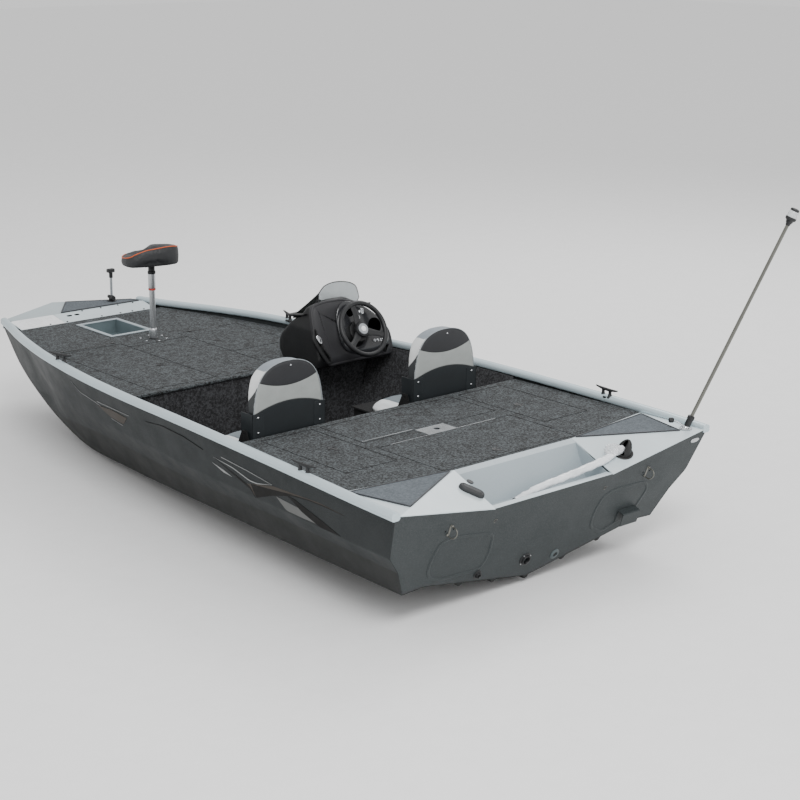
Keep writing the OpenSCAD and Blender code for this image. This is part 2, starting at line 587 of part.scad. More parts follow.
// rear deck: its aft edge steps back on each side of the motor well
deck_shoulder = 392;
well_side = notch_w / 2 + gap;
module rear_deck() color([0.34, 0.36, 0.37]) difference() {
  union() {
    board(concat(both([for (y = rows_between(deck_shoulder, rear_deck_front - deck_t / 2)) [rail_inner(y), y]]),
      [[-well_side, rear_deck_aft], [well_side, rear_deck_aft]]), rear_deck_z, deck_t);
    nose_bar(rear_deck_front - deck_t / 2, rear_deck_z);
  }
  for (a = [rear_port, rear_star, rear_fwd, rear_aft]) cut(a, rear_deck_z);
  translate([plate_x, plate_y, rear_deck_z - deck_t - 1]) cylinder(d = seat_bore, h = deck_t + 2);
}
plate_x = -12;
plate_y = (rear_mid_hinge + bait_hinge) / 2;
seat_bore = 32;
// plate with the socket for a second seat post
module seat_plate() color([0.76, 0.78, 0.79]) difference() {
  translate([plate_x - 94, rear_mid_hinge + 4, rear_deck_z]) cube([176, bait_hinge - rear_mid_hinge - 8, 3]);
  translate([plate_x, plate_y, rear_deck_z - 1]) cylinder(d = seat_bore, h = 5);
}
module rear_lid_port() cover(rear_port, rear_deck_z, -590, along(893));
module rear_lid_starboard() cover(rear_star, rear_deck_z, 587, along(868));
module rear_lid_forward() cover(rear_fwd, rear_deck_z, 9, along(1115));
module rear_lid_aft() cover(rear_aft, rear_deck_z, -18, along(405));

// stern decks: a flat corner beside the rail and a facet that falls to the motor notch
corner_a = [deck_corner_x, rake_y(top_z), top_z];
corner_b = [well_side, rake_y(notch_z), notch_z];
corner_c = [well_side, rear_deck_aft - gap, rear_deck_z];
corner_d = [rail_inner(deck_shoulder), deck_shoulder - gap, rear_deck_z];
module stern_prism(low, high) {
  top = [corner_a, corner_b, corner_c, corner_d];
  polyhedron(points = concat([for (p = top) p + [0, 0, high]], [for (p = top) p + [0, 0, low]]),
    faces = [[0, 1, 2], [0, 2, 3], [4, 6, 5], [4, 7, 6], [0, 4, 5, 1], [1, 5, 6, 2], [2, 6, 7, 3], [3, 7, 4, 0]]);
}
module stern_decks() color([0.78, 0.82, 0.83]) {
  difference() {
    stern_prism(-plate, 0);
    at_boot() translate([0, 0, -30]) cylinder(d = boot_d, h = 60);
  }
  mirror([1, 0, 0]) stern_prism(-plate, 0);
}
flat_n = cross(corner_c - corner_a, corner_d - corner_a);
facet_n = cross(corner_c - corner_a, corner_b - corner_a);
function plane_z(n, x, y) = corner_a[2] - (n[0] * (x - corner_a[0]) + n[1] * (y - corner_a[1])) / n[2];
function on_flat(x, y) = [x, y, plane_z(flat_n, x, y)];

// non-slip pads on the flat corners
pad_back = 106;
module starboard_pad() {
  low = [for (p = [on_flat(corner_a[0] - pad_back, 58), on_flat(corner_c[0] + 26, corner_c[1] - 4),
    on_flat(corner_d[0] - 26, corner_d[1] - 26)]) p + [0, 0, gap]];
  polyhedron(points = concat([for (p = low) p + [0, 0, 3.5]], low),
    faces = [[0, 1, 2], [3, 5, 4], [0, 3, 4, 1], [1, 4, 5, 2], [2, 5, 3, 0]]);
}
module pads() color([0.45, 0.48, 0.52]) {
  bow_pad();
  starboard_pad();
  mirror([1, 0, 0]) starboard_pad();
}

// motor well: a tray with a sloping front wall
well_t = 4;
well_foot = 96;
well_top = rear_deck_z + 40;
function well_aft(z, d) = [rake_y(z) + transom_t / cos(transom_rake) + gap + d, z];
module well_profile(d) polygon([well_aft(well_z + d, d),
  [rear_deck_aft - well_foot - d * 0.6, well_z + d], [rear_deck_aft - d * 1.4, d > 0 ? well_top : rear_deck_z],
  [rear_deck_aft - 1 - d * 1.4, d > 0 ? well_top : rear_deck_z], well_aft(d > 0 ? well_top : notch_z, d)]);
module motor_well() color([0.68, 0.73, 0.75]) difference() {
  rotate([90, 0, 90]) translate([0, 0, -notch_w / 2 + gap]) linear_extrude(notch_w - 2 * gap) well_profile(0);
  rotate([90, 0, 90]) translate([0, 0, -notch_w / 2 + well_t]) linear_extrude(notch_w - 2 * well_t) well_profile(well_t);
}

// hooded rubber boot that leads the rigging out through the starboard facet
boot_x = 515;
boot_y = 108;
boot_d = 72;
boot_ring = 96;
boot_h = 34;
boot_wall = 3.5;
facet_long = norm(facet_n);
facet_up = facet_n[2] > 0 ? 1 : -1;
facet_a = asin(-facet_up * facet_n[1] / facet_long);
facet_b = asin(facet_up * facet_n[0] / facet_long / cos(facet_a));
module at_boot() translate([boot_x, boot_y, plane_z(facet_n, boot_x, boot_y)]) rotate([facet_a, facet_b, 0]) children();
module rigging_boot() color([0.07, 0.07, 0.08]) at_boot() difference() {
  union() {
    cylinder(d = boot_ring, h = 5);
    translate([0, 0, -14]) cylinder(d = boot_d - 2 * gap, h = boot_h + 14);
    translate([0, 0, boot_h]) sphere(d = boot_d - 2 * gap);
  }
  translate([0, 0, -15]) cylinder(d = boot_d - 2 * boot_wall, h = boot_h + 15);
  translate([0, 0, boot_h]) sphere(d = boot_d - 2 * boot_wall);
  translate([0, 0, -boot_d]) cube([2 * boot_d, 2 * boot_d, 2 * boot_d - 28], center = true);
  rotate([0, 0, -6]) translate([-boot_d, -boot_d / 2 + 8, 9]) rotate([0, 22, 0]) cube([boot_d, boot_d - 16, boot_d]);
}

// wrapped rigging hose: from the boot across the well behind the transom, with its end fitting
hose_r = 19;
hose_path = [[505, 106, 372], [460, 106, 367], [410, 105, 349], [376, 105, 340], [300, 104, 331], [190, 104, 320],
  [80, 106, 309], [-30, 112, 296], [-110, 118, 277], [-170, 124, 259.3]];
function spline(p, i, t) = let (n = len(p) - 1)
  smooth(p[max(i - 1, 0)], p[i], p[i + 1], p[min(i + 2, n)], t);
hose_line = [for (i = [0:len(hose_path) - 2]) for (s = [0:3]) spline(hose_path, i, s / 4), hose_path[len(hose_path) - 1]];
function ring_at(line, i, r, n) = let (m = len(line) - 1, d = line[min(i + 1, m)] - line[max(i - 1, 0)],
  t = d / norm(d), u = cross(t, [0, 0, 1]) / norm(cross(t, [0, 0, 1])), v = cross(u, t))
  [for (k = [0:n - 1]) line[i] + r * (cos(k * 360 / n) * u - sin(k * 360 / n) * v)];
module rigging_hose() {
  color([0.90, 0.91, 0.91]) tube([for (i = [0:len(hose_line) - 1]) ring_at(hose_line, i, hose_r, 12)]);
  color([0.10, 0.10, 0.11]) tube([for (k = [0, 1]) let (m = len(hose_line) - 1, d = hose_line[m] - hose_line[m - 1])
    [for (p = ring_at(hose_line, m, hose_r * 0.8, 12)) p + k * 30 * d / norm(d)]]);
}

// deck cleats on the rails
stern_cleat_y = along(628);
bow_cleat_y = along(2978);
cleat_turn = 4;
function sheer(y) = atan2(row_at(y + 40)[2] - row_at(y - 40)[2], 80);
module cleat(y, turn) translate([row_at(y)[1] - 4, y, row_at(y)[2] + rail_low + gap]) rotate([sheer(y), 0, turn]) {
  for (e = [-18, 18]) translate([-9, e - 8, 0]) cube([18, 16, 20]);
  translate([0, 0, 23]) rotate([90, 0, 0]) translate([0, 0, -cleat_l / 2]) cylinder(d = 13, h = cleat_l);
  translate([-11, -32, 0]) cube([22, 64, 3]);
}
module cleats() color([0.08, 0.08, 0.09]) for (s = [0, 1]) mirror([s, 0, 0]) {
  cleat(stern_cleat_y, cleat_turn);
  cleat(bow_cleat_y, cleat_turn + 12);
}

// stern light: base on the starboard corner, leaning pole and lamp
light_x = 902;
light_y = 60;
light_turn = -41.4;
module stern_light() translate(on_flat(light_x, light_y) + [0, 0, gap]) {
  color([0.8, 0.81, 0.83]) cylinder(d = 44, h = 7);
  rotate([0, 0, light_turn]) rotate([0, pole_lean, 0]) {
    color([0.08, 0.08, 0.09]) translate([0, 0, 7]) cylinder(d = 26, h = 29);
    color([0.6, 0.62, 0.63]) translate([0, 0, 36]) cylinder(d = 13, h = stern_pole - 36);
    color([0.08, 0.08, 0.09]) translate([0, 0, stern_pole]) cylinder(d = 40, h = 12);
    color([0.9, 0.9, 0.88]) translate([0, 0, stern_pole + 12]) cylinder(d = 36, h = 30);
    color([0.08, 0.08, 0.09]) translate([0, 0, stern_pole + 42]) cylinder(d1 = 42, d2 = 30, h = 12);
  }
}

// folding bow light on the pad
bow_light_at = [300, bow_y + 38];
fold_z = 24;
fold_pin = 3;
module bow_light() translate([bow_light_at[0], bow_light_at[1], cap_z + pad_t]) {
  color([0.08, 0.08, 0.09]) {
    translate([-10, -11, fold_z - 12]) cube([20, 22, 24]);
    translate([0, 17.2, fold_z]) rotate([90, 0, 0]) cylinder(r = fold_pin, h = 34.4);
  }
  color([0.8, 0.81, 0.83]) translate([0, 0, fold_z + 12]) cylinder(d = 15, h = bow_light_h - 34 - fold_z - 12);
  color([0.08, 0.08, 0.09]) translate([0, 0, bow_light_h - 34]) cylinder(d = 30, h = 34);
}
module bow_light_base() translate([bow_light_at[0], bow_light_at[1], cap_z + pad_t]) color([0.08, 0.08, 0.09]) {
  cylinder(d = 58, h = 3.5);
  difference() {
    for (s = [-1, 1]) translate([-10, s * 15 - 2.5, 3]) cube([20, 5, fold_z + 7]);
    translate([0, 20, fold_z]) rotate([90, 0, 0]) cylinder(r = fold_pin + run_gap, h = 40);
  }
  translate([0, 17.5, fold_z]) rotate([-90, 0, 0]) cylinder(d = 22, h = 16);
}

// lean seat on its post
post_top = front_deck_z + seat_lift;
module seat_pedestal() {
  translate([pedestal_x, pedestal_y, 0]) {
    color([0.72, 0.74, 0.75]) difference() {
      translate([0, 0, sole_z]) cylinder(d = tube_d, h = front_deck_z + 62 - sole_z);
      translate([0, 0, front_deck_z - post_low - 10]) cylinder(r = socket_r, h = post_low + 200);
    }
    color([0.36, 0.38, 0.39]) translate([0, 0, front_deck_z]) difference() {
      cylinder(d = flange_d, h = 3);
      translate([0, 0, -1]) cylinder(d = tube_d + 2 * gap, h = 6);
    }
  }
}
module bow_seat_post() translate([pedestal_x, pedestal_y, 0]) {
  color([0.74, 0.76, 0.77]) translate([0, 0, front_deck_z - post_low]) cylinder(d = post_d, h = post_low + seat_lift - 5);
  color([0.75, 0.16, 0.08]) translate([0, 0, front_deck_z + 285]) difference() {
    cylinder(d = post_d + 10, h = 8);
    translate([0, 0, -1]) cylinder(d = post_d, h = 10);
  }
  color([0.08, 0.08, 0.09]) translate([0, 0, front_deck_z + 385]) difference() {
    cylinder(d = post_d + 10, h = 50);
    translate([0, 0, -1]) cylinder(d = post_d, h = 52);
  }
  color([0.08, 0.08, 0.09]) translate([-90, -70, post_top - 5]) cube([180, 140, 5]);
}
lean_w = 346;
lean_d = 228;
lean_t = 108;
lean_front = 66;
lean_turn = -11;
lean_r = 26;
lean_plan = [[-0.40, -0.32], [-0.18, -0.42], [0.18, -0.42], [0.40, -0.32], [0.44, 0.02], [0.30, 0.40], [-0.30, 0.40], [-0.44, 0.02]];
function lean_top(y) = mix(lean_t, lean_front, (y + 0.42) / 0.82);
module bow_seat() color([0.16, 0.16, 0.17]) translate([pedestal_x, pedestal_y, post_top + gap])
  rotate([0, 0, lean_turn]) minkowski() {
    polyhedron(points = concat([for (p = lean_plan) [p[0] * lean_w, p[1] * lean_d, lean_r]],
      [for (p = lean_plan) [p[0] * lean_w, p[1] * lean_d, lean_top(p[1]) - lean_r]]),
      faces = [[7, 6, 5, 4, 3, 2, 1, 0], [8, 9, 10, 11, 12, 13, 14, 15],
        for (j = [0:7]) [j, (j + 1) % 8, 8 + (j + 1) % 8, 8 + j]]);
    sphere(r = lean_r, $fn = 16);
  }

// seat boxes under the two cushions
box_aft = rear_deck_front + 6;
seat_box_top = cushion_top - cushion_t - gap;
back_aft = rear_deck_front + 23;
hinge_y = back_aft + back_t / 2 + 2;
hinge_z = rear_deck_z + 10;
back_low = rear_deck_z - 28;
pan_half = seat_w / 2 + 2;
pan_t = 8;
ear_t = 4;
pin_r = 5;
box_l = cushion_l + 96;
box_limit = inside_at(box_aft + box_l, sole_z) - liner_in - liner_t - 6;
// pan on a hollow box, with an ear on each side for the backrest's pin
module seat_box(x) {
  low = max(x - pan_half + 14, -box_limit);
  high = min(x + pan_half - 14, box_limit);
  translate([0, 0, sole_z]) difference() {
    translate([low, box_aft, 0]) cube([high - low, box_l, seat_box_top - pan_t - sole_z]);
    translate([low + board_t, box_aft + board_t, -1])
      cube([high - low - 2 * board_t, box_l - 2 * board_t, seat_box_top - sole_z]);
  }
  translate([x - pan_half, box_aft, seat_box_top - pan_t]) cube([2 * pan_half, box_l, pan_t]);
  for (s = [-1, 1]) translate([x + s * (pan_half + ear_t / 2) - ear_t / 2, 0, 0])
    rotate([90, 0, 90]) linear_extrude(ear_t) difference() {
      polygon([[box_aft, seat_box_top - pan_t], [box_aft + 150, seat_box_top - pan_t], [box_aft + 150, seat_box_top + 12],
        [hinge_y + 17, hinge_z + 15], [hinge_y - 17, hinge_z + 15], [box_aft, seat_box_top + 60]]);
      translate([hinge_y, hinge_z]) circle(r = pin_r + run_gap);
    }
}
module seat_boxes() color([0.20, 0.21, 0.22]) {
  seat_box(-seat_port_x);
  seat_box(seat_star_x);
}
cushion_aft = back_aft + back_t + 8;
module cushion(x) translate([x, cushion_aft, cushion_top - cushion_t]) minkowski() {
  translate([-seat_w / 2 + 24, 24, 24]) cube([seat_w - 48, cushion_l - 48, cushion_t - 48]);
  sphere(r = 24, $fn = 16);
}
module seat_cushions() color([0.70, 0.73, 0.75]) {
  cushion(-seat_port_x);
  cushion(seat_star_x);
}
// backrest with a crowned top and its hinge plates: half width and height above the lower edge, as shares
back_line = [[0.93, 0], [0.95, 0.08], [0.95, 0.38], [0.91, 0.55], [0.84, 0.68], [0.77, 0.775], [0.66, 0.865], [0.50, 0.935], [0.30, 0.98], [0.10, 1]];
module backrest(x) {
  color([0.62, 0.64, 0.64]) translate([x, back_aft + back_t, back_low]) rotate([90, 0, 0]) linear_extrude(back_t)
    polygon([for (p = both(back_line)) [p[0] * seat_w / 2, p[1] * back_h]]);
  color([0.15, 0.17, 0.18]) for (s = [-1, 1]) {
    translate([x + s * (seat_w / 2 - 8) - 6, back_aft + 6, back_low + 6]) cube([12, back_t - 12, 130]);
    translate([x + s * (seat_w / 2 - 4), hinge_y, hinge_z]) rotate([0, s * 90, 0])
      cylinder(r = pin_r, h = pan_half + ear_t + 3 - seat_w / 2 + 4);
  }
}
module back_port() backrest(-seat_port_x);
module back_starboard() backrest(seat_star_x);

// side console: moulded body with a sloping face, a hood and a nose that reaches over the front deck
console_profile = [[console_aft, front_deck_z], [console_aft - 6, front_deck_z + 52], [console_aft + 30, front_deck_z + 215],
  [console_aft + 78, front_deck_z + 362], [console_aft + 96, front_deck_z + 372], [console_aft + 168, front_deck_z + 272],
  [console_nose - 100, front_deck_z + 237], [console_nose - 40, front_deck_z + 150], [console_nose, front_deck_z + 51],
  [console_nose - 55, front_deck_z]];
console_t = 6;
console_ys = rows_between(console_aft - 10, console_nose + 10);
function console_side(y) = min(console_out, rail_inner(y) - 8, half_at(y, front_deck_z - 1) - liner_in - liner_t - 1);
module console_plan(d) polygon(concat([[console_in + d, console_aft - 10], [console_in + d, console_aft + 190],
  [console_in + 34 + d, console_aft + 340], [console_in + 110 + d, console_nose - 20], [console_in + 190 + d, console_nose + 10]], [for (i = [len(console_ys) - 1:-1:0])
  [console_side(console_ys[i]) - d, console_ys[i]]]));
// the hood: foot narrower than the shoulders, high and round on the inboard side
hood = [[96, 0], [0, 210], [22, 330], [74, 359], [128, 371], [232, 371], [318, 330], [430, 240], [534, 140], [534, 0]];
module console_shape(d) intersection() {
  rotate([90, 0, 90]) linear_extrude(1200) offset(delta = -d) polygon(console_profile);
  translate([0, console_nose + 50, 0]) rotate([90, 0, 0]) linear_extrude(console_nose) offset(delta = -d)
    polygon([for (p = hood) [console_in + p[0], front_deck_z + p[1] - (p[1] == 0 ? 0.01 : 0)]]);
  translate([0, 0, front_deck_z - 20]) linear_extrude(500) console_plan(d);
}
wheel_x = 578;
wheel_z = 569;
wheel_y = console_aft - 60;
shaft_r = 11;
module at_wheel() translate([wheel_x, wheel_y, wheel_z]) rotate([90 - wheel_tilt, 0, 0]) children();
module console() color([0.12, 0.13, 0.14]) difference() {
  console_shape(0);
  translate([0, 0, -2 * console_t]) console_shape(console_t);
  at_wheel() translate([0, 0, -260]) cylinder(r = shaft_r + run_gap, h = 200);
}
// bezel that leads the steering shaft out of the face
module dash_panel() color([0.16, 0.17, 0.18]) difference() {
  at_wheel() translate([0, 0, -128]) cylinder(d1 = 168, d2 = 112, h = 84);
  at_wheel() translate([0, 0, -130]) cylinder(r = shaft_r + run_gap, h = 90);
  console_shape(0);
}
module steering_wheel() at_wheel() {
  color([0.12, 0.13, 0.14]) rotate_extrude() translate([wheel_d / 2 - rim_d / 2, 0]) circle(d = rim_d);
  color([0.30, 0.32, 0.33]) for (a = [90, 210, 330]) rotate([0, 0, a]) translate([20, -13, -22])
    rotate([0, -7, 0]) cube([wheel_d / 2 - rim_d - 10, 26, 8]);
  color([0.62, 0.64, 0.66]) translate([0, 0, -30]) cylinder(d = 62, h = 26);
  color([0.3, 0.3, 0.3]) translate([0, 0, -150]) cylinder(r = shaft_r, h = 121);
}
// smoked windscreen: a sheet bent round the front of the hood, its port wing falling to the console top
screen_t = 5;
screen_line = [[34, 248], [88, 104], [150, 128], [225, 150], [300, 146], [380, 118]];
screen_edge = [[20, 200], [34, 257], [90, 399], [118, 424], [160, 433], [240, 435], [300, 428], [348, 414], [374, 386], [346, 300], [340, 200]];
module windscreen() color([0.30, 0.32, 0.33, 0.5]) difference() {
  intersection() {
    translate([console_in, console_aft, front_deck_z + 200]) linear_extrude(300)
      for (i = [0:len(screen_line) - 2]) hull() for (p = [screen_line[i], screen_line[i + 1]]) translate(p) circle(d = screen_t, $fn = 12);
    translate([console_in, console_nose, front_deck_z]) rotate([90, 0, 0]) linear_extrude(console_l) polygon(screen_edge);
  }
  console_shape(0);
}

bottom();
side_port();
side_starboard();
transom();
transom_fittings();
gunwales();
bow_cap();
pads();
bow_riser();
bow_eye();
bow_light_base();
front_deck();
bulkheads();
front_bins();
front_lid_port();
front_lid_starboard();
front_lid_middle();
pedal_tray();
seat_pedestal();
bow_seat_post();
bow_seat();
sole();
liners();
console();
dash_panel();
windscreen();
steering_wheel();
seat_boxes();
seat_cushions();
back_port();
back_starboard();
rear_deck();
seat_plate();
rear_bins();
rear_lid_port();
rear_lid_starboard();
rear_lid_forward();
rear_lid_aft();
stern_decks();
motor_well();
rigging_boot();
rigging_hose();
cleats();
stern_light();
bow_light();
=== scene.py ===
# Bass boat: paint, carpet, upholstery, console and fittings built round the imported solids.
import math
import bmesh
import bpy
import numpy as np
from mathutils import Matrix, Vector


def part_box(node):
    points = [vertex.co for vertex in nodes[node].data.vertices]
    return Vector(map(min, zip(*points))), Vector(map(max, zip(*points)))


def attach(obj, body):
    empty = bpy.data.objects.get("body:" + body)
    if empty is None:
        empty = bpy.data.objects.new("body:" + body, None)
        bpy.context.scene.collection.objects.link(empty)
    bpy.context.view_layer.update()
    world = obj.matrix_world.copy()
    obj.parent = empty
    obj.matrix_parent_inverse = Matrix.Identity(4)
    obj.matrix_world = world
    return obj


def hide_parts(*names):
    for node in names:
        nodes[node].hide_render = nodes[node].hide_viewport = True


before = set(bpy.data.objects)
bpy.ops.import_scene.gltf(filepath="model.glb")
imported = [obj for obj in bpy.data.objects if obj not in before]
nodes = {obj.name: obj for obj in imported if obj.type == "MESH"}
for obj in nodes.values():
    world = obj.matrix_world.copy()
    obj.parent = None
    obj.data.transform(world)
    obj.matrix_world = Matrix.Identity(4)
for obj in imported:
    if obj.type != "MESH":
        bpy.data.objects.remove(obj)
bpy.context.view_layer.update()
print("frame loaded")


def unit(v):
    # vectors brought to length one
    v = np.asarray(v, float)
    return v / np.linalg.norm(v, axis=-1, keepdims=True)


def around(count):
    # even steps of angle round a circle
    return np.linspace(0, 2 * math.pi, count, endpoint=False)


def swept(a, side, top):
    # the circle of angles a set square to a path
    return np.cos(a)[None, :, None] * side[:, None] + np.sin(a)[None, :, None] * top[:, None]


def inFrame(origin, across, up, out, u, v, w=0.0):
    # points given along three directions from an origin
    u, v, w = np.broadcast_arrays(*(np.asarray(q, float) for q in (u, v, w)))
    return origin + u[..., None] * across + v[..., None] * up + w[..., None] * out


def cornerNormals(p):
    # outward normals at the corners of a closed outline in its plane
    middle = unit(p - np.roll(p, 1, 0)) + unit(np.roll(p, -1, 0) - p)
    area = np.sum(p[:, 0] * np.roll(p[:, 1], -1) - np.roll(p[:, 0], -1) * p[:, 1])
    return unit(np.stack([middle[:, 1], -middle[:, 0]], -1)) * (1 if area > 0 else -1)


# camera and light
photoView = {"place": (-5.452, -5.082, 2.817), "yaw": 41.41, "pitch": 15.83, "roll": .56, "lens": 79.29}


def placeObject(ob, side, top, back, place):
    # links an object with its three directions and its place
    bpy.context.collection.objects.link(ob)
    ob.matrix_world = Matrix([[side[i], top[i], back[i], place[i]] for i in range(3)] + [[0, 0, 0, 1]])


def addCamera(v):
    # the view direction turns from +Y towards +X by yaw and down by pitch, then rolls about itself
    yaw, pitch, roll = (math.radians(v[k]) for k in ("yaw", "pitch", "roll"))
    ahead = np.array([math.sin(yaw) * math.cos(pitch), math.cos(yaw) * math.cos(pitch), -math.sin(pitch)])
    right = np.array([math.cos(yaw), -math.sin(yaw), 0.0])
    up = np.cross(right, ahead)
    side = right * math.cos(roll) + up * math.sin(roll)
    top = up * math.cos(roll) - right * math.sin(roll)
    lens = bpy.data.cameras.new("photoCamera")
    lens.lens, lens.sensor_width, lens.clip_end = v["lens"], 36.0, 200.0
    cam = bpy.data.objects.new("photoCamera", lens)
    placeObject(cam, side, top, -ahead, v["place"])
    bpy.context.scene.camera = cam


studio = {"sky": .92, "floorZ": -.2, "floorColor": (.95, .95, .95, 1)}


def addLight(name, place, aim, size, watts, tint=(1, 1, 1)):
    lamp = bpy.data.lights.new(name, "AREA")
    lamp.shape, lamp.size, lamp.energy, lamp.color = "DISK", size, watts, tint
    ob = bpy.data.objects.new(name, lamp)
    back = unit(np.array(place, float) - np.array(aim, float))
    side = unit(np.cross([0, 0, 1.0], back))
    placeObject(ob, side, np.cross(back, side), back, place)


def addStudio(s):
    world = bpy.data.worlds.new("studio")
    bpy.context.scene.world = world
    world.use_nodes = True
    back = world.node_tree.nodes["Background"]
    back.inputs[0].default_value = (1.0, 1.0, 1.0, 1)
    back.inputs[1].default_value = s["sky"]
    addLight("keyLight", (-3.5, -4.5, 7.5), (0, 2, .2), 4.0, 560)
    addLight("fillLight", (6.5, 4.0, 6.5), (0, 2, .2), 5.0, 290)
    addLight("sternLight", (1.5, -7.5, 3.2), (0, .2, .1), 4.0, 100)


addCamera(photoView)
addStudio(studio)

# the wrapped hose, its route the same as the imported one
hose = {"radius": .019, "route": [(.505, .106, .372), (.46, .106, .367), (.41, .105, .349), (.376, .105, .34),
    (.3, .104, .331), (.19, .104, .32), (.08, .106, .309), (-.03, .112, .296), (-.11, .118, .277),
    (-.17, .124, .2593)]}


def smoothPath(points, steps):
    # each stretch is the cubic whose end slopes are half the chord between the neighbours
    p = np.array(points, float)
    n = len(p) - 1
    i = np.repeat(np.arange(n), steps)
    t = np.tile(np.arange(steps) / steps, n)[:, None]
    a, b, c, d = p[np.maximum(i - 1, 0)], p[i], p[i + 1], p[np.minimum(i + 2, n)]
    curve = .5 * (2 * b + (c - a) * t + (2 * a - 5 * b + 4 * c - d) * t ** 2 + (3 * b - a - 3 * c + d) * t ** 3)
    return np.vstack([curve, p[-1:]])


# mesh helpers
def quads(*corners):
    return np.stack(corners, -1).reshape(-1, 4).tolist()


def ringFaces(rings, count):
    # quads between neighbouring closed rings, and one flat face on each end
    i, j = np.meshgrid(np.arange(rings - 1), np.arange(count), indexing="ij")
    k = (j + 1) % count
    sides = quads(i * count + j, i * count + k, (i + 1) * count + k, (i + 1) * count + j)
    return sides + [list(range(count))[::-1], [(rings - 1) * count + q for q in range(count)]]


def sheetFaces(rows, cols):
    # quads between neighbouring points of an open grid
    i, j = np.meshgrid(np.arange(rows - 1), np.arange(cols - 1), indexing="ij")
    return quads(i * cols + j, i * cols + j + 1, (i + 1) * cols + j + 1, (i + 1) * cols + j)


def torusFaces(rings, count):
    # quads round a closed row of closed rings
    i, j = np.meshgrid(np.arange(rings), np.arange(count), indexing="ij")
    k, n = (j + 1) % count, (i + 1) % rings
    return quads(i * count + j, i * count + k, n * count + k, n * count + j)


def shellFaces(rows, cols):
    # two sheets of one grid, one after the other, joined by a band round their edge
    n = rows * cols
    grid = np.arange(n).reshape(rows, cols)
    loop = np.concatenate([grid[0, :-1], grid[:-1, -1], grid[-1, :0:-1], grid[:0:-1, 0]])
    faces = sheetFaces(rows, cols)
    faces += [[n + q for q in f] for f in faces]
    return faces + [[int(p), int(q), int(n + q), int(n + p)] for p, q in zip(loop, np.roll(loop, -1))]


def ringShape(rings):
    # closed rings of equal count as points and faces
    rings = np.asarray(rings, float)
    return rings.reshape(-1, 3), ringFaces(rings.shape[0], rings.shape[1])


def makePiece(name, points, faces, material, body="hull", angle=35):
    mesh = bpy.data.meshes.new(name)
    mesh.from_pydata(np.asarray(points, float).reshape(-1, 3).tolist(), [], faces)
    mesh.validate()
    ob = bpy.data.objects.new(name, mesh)
    bpy.context.collection.objects.link(ob)
    turnOut(mesh)
    mesh.materials.append(material)
    mesh.shade_smooth()
    mesh.set_sharp_from_angle(angle=math.radians(angle))
    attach(ob, body)
    return ob


def turnOut(mesh):
    bm = bmesh.new()
    bm.from_mesh(mesh)
    bmesh.ops.remove_doubles(bm, verts=bm.verts, dist=1e-6)
    bmesh.ops.recalc_face_normals(bm, faces=bm.faces)
    bm.to_mesh(mesh)
    bm.free()


def loft(name, rings, material, body="hull", angle=35):
    # closed rings of equal count joined one after another
    return makePiece(name, *ringShape(rings), material, body, angle)


def joined(name, parts, material, body="hull", angle=35):
    # several closed shapes, each given as its points and faces, put in one piece
    points, faces, start = [], [], 0
    for p, f in parts:
        p = np.asarray(p, float).reshape(-1, 3)
        points.append(p)
        faces += [[start + q for q in face] for face in f]
        start += len(p)
    return makePiece(name, np.vstack(points), faces, material, body, angle)


def secondWhere(ob, test):
    # faces where the test holds take the second material
    for poly in ob.data.polygons:
        poly.material_index = int(test(poly))


def dressed(ob, stands=None):
    # hides the imported node that a piece stands for, and gives the piece back
    if stands:
        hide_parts(stands)
    return ob


def fitted(name, parts, finish, body="hull", angle=40, stands=None):
    return dressed(joined(name, parts, mats[finish], body, angle), stands)


def tubeShape(path, radius, count=16, up=(0, 0, 1)):
    # a circle of the given radius carried square to the path
    path = np.asarray(path, float)
    radius = np.broadcast_to(np.asarray(radius, float), (len(path),))
    along = unit(np.gradient(path, axis=0))
    side = unit(np.cross(along, np.asarray(up, float)))
    top = np.cross(side, along)
    a = around(count)
    ring = path[:, None] + radius[:, None, None] * swept(a, side, top)
    return ringShape(ring)


def loopShape(path, radius, count=10, up=(0, 0, 1)):
    # the same circle carried round a closed path
    path = np.asarray(path, float)
    along = unit(np.roll(path, -1, 0) - np.roll(path, 1, 0))
    side = unit(np.cross(along, np.asarray(up, float)))
    top = np.cross(side, along)
    a = around(count)
    ring = path[:, None] + radius * swept(a, side, top)
    return ring.reshape(-1, 3), torusFaces(len(path), count)


def turnedShape(profile, centre=(0, 0, 0), axis=(0, 0, 1), count=32):
    # a profile of radius and height pairs turned about an axis
    profile = np.asarray(profile, float)
    w = unit(axis)
    u = unit(np.cross(w, [0, 1, 0] if abs(w[1]) < .9 else [1, 0, 0]))
    v = np.cross(w, u)
    a = around(count)
    ring = (np.cos(a)[None, :, None] * u + np.sin(a)[None, :, None] * v) * profile[:, 0][:, None, None]
    pts = np.asarray(centre, float) + ring + profile[:, 1][:, None, None] * w
    return ringShape(pts)


def blockShape(low, high, bevel=.002):
    # a box whose rings shrink by the bevel at its lower and upper edge, with cut corners
    low, high = np.asarray(low, float), np.asarray(high, float)
    b = min(bevel, .45 * float(np.min(high - low)))
    rings = []
    for z, d in ((low[2], b), (low[2] + b, 0), (high[2] - b, 0), (high[2], b)):
        x0, x1, y0, y1 = low[0] + d, high[0] - d, low[1] + d, high[1] - d
        c = b * .8
        rings.append([(x0 + c, y0, z), (x1 - c, y0, z), (x1, y0 + c, z), (x1, y1 - c, z), (x1 - c, y1, z),
            (x0 + c, y1, z), (x0, y1 - c, z), (x0, y0 + c, z)])
    return ringShape(rings)


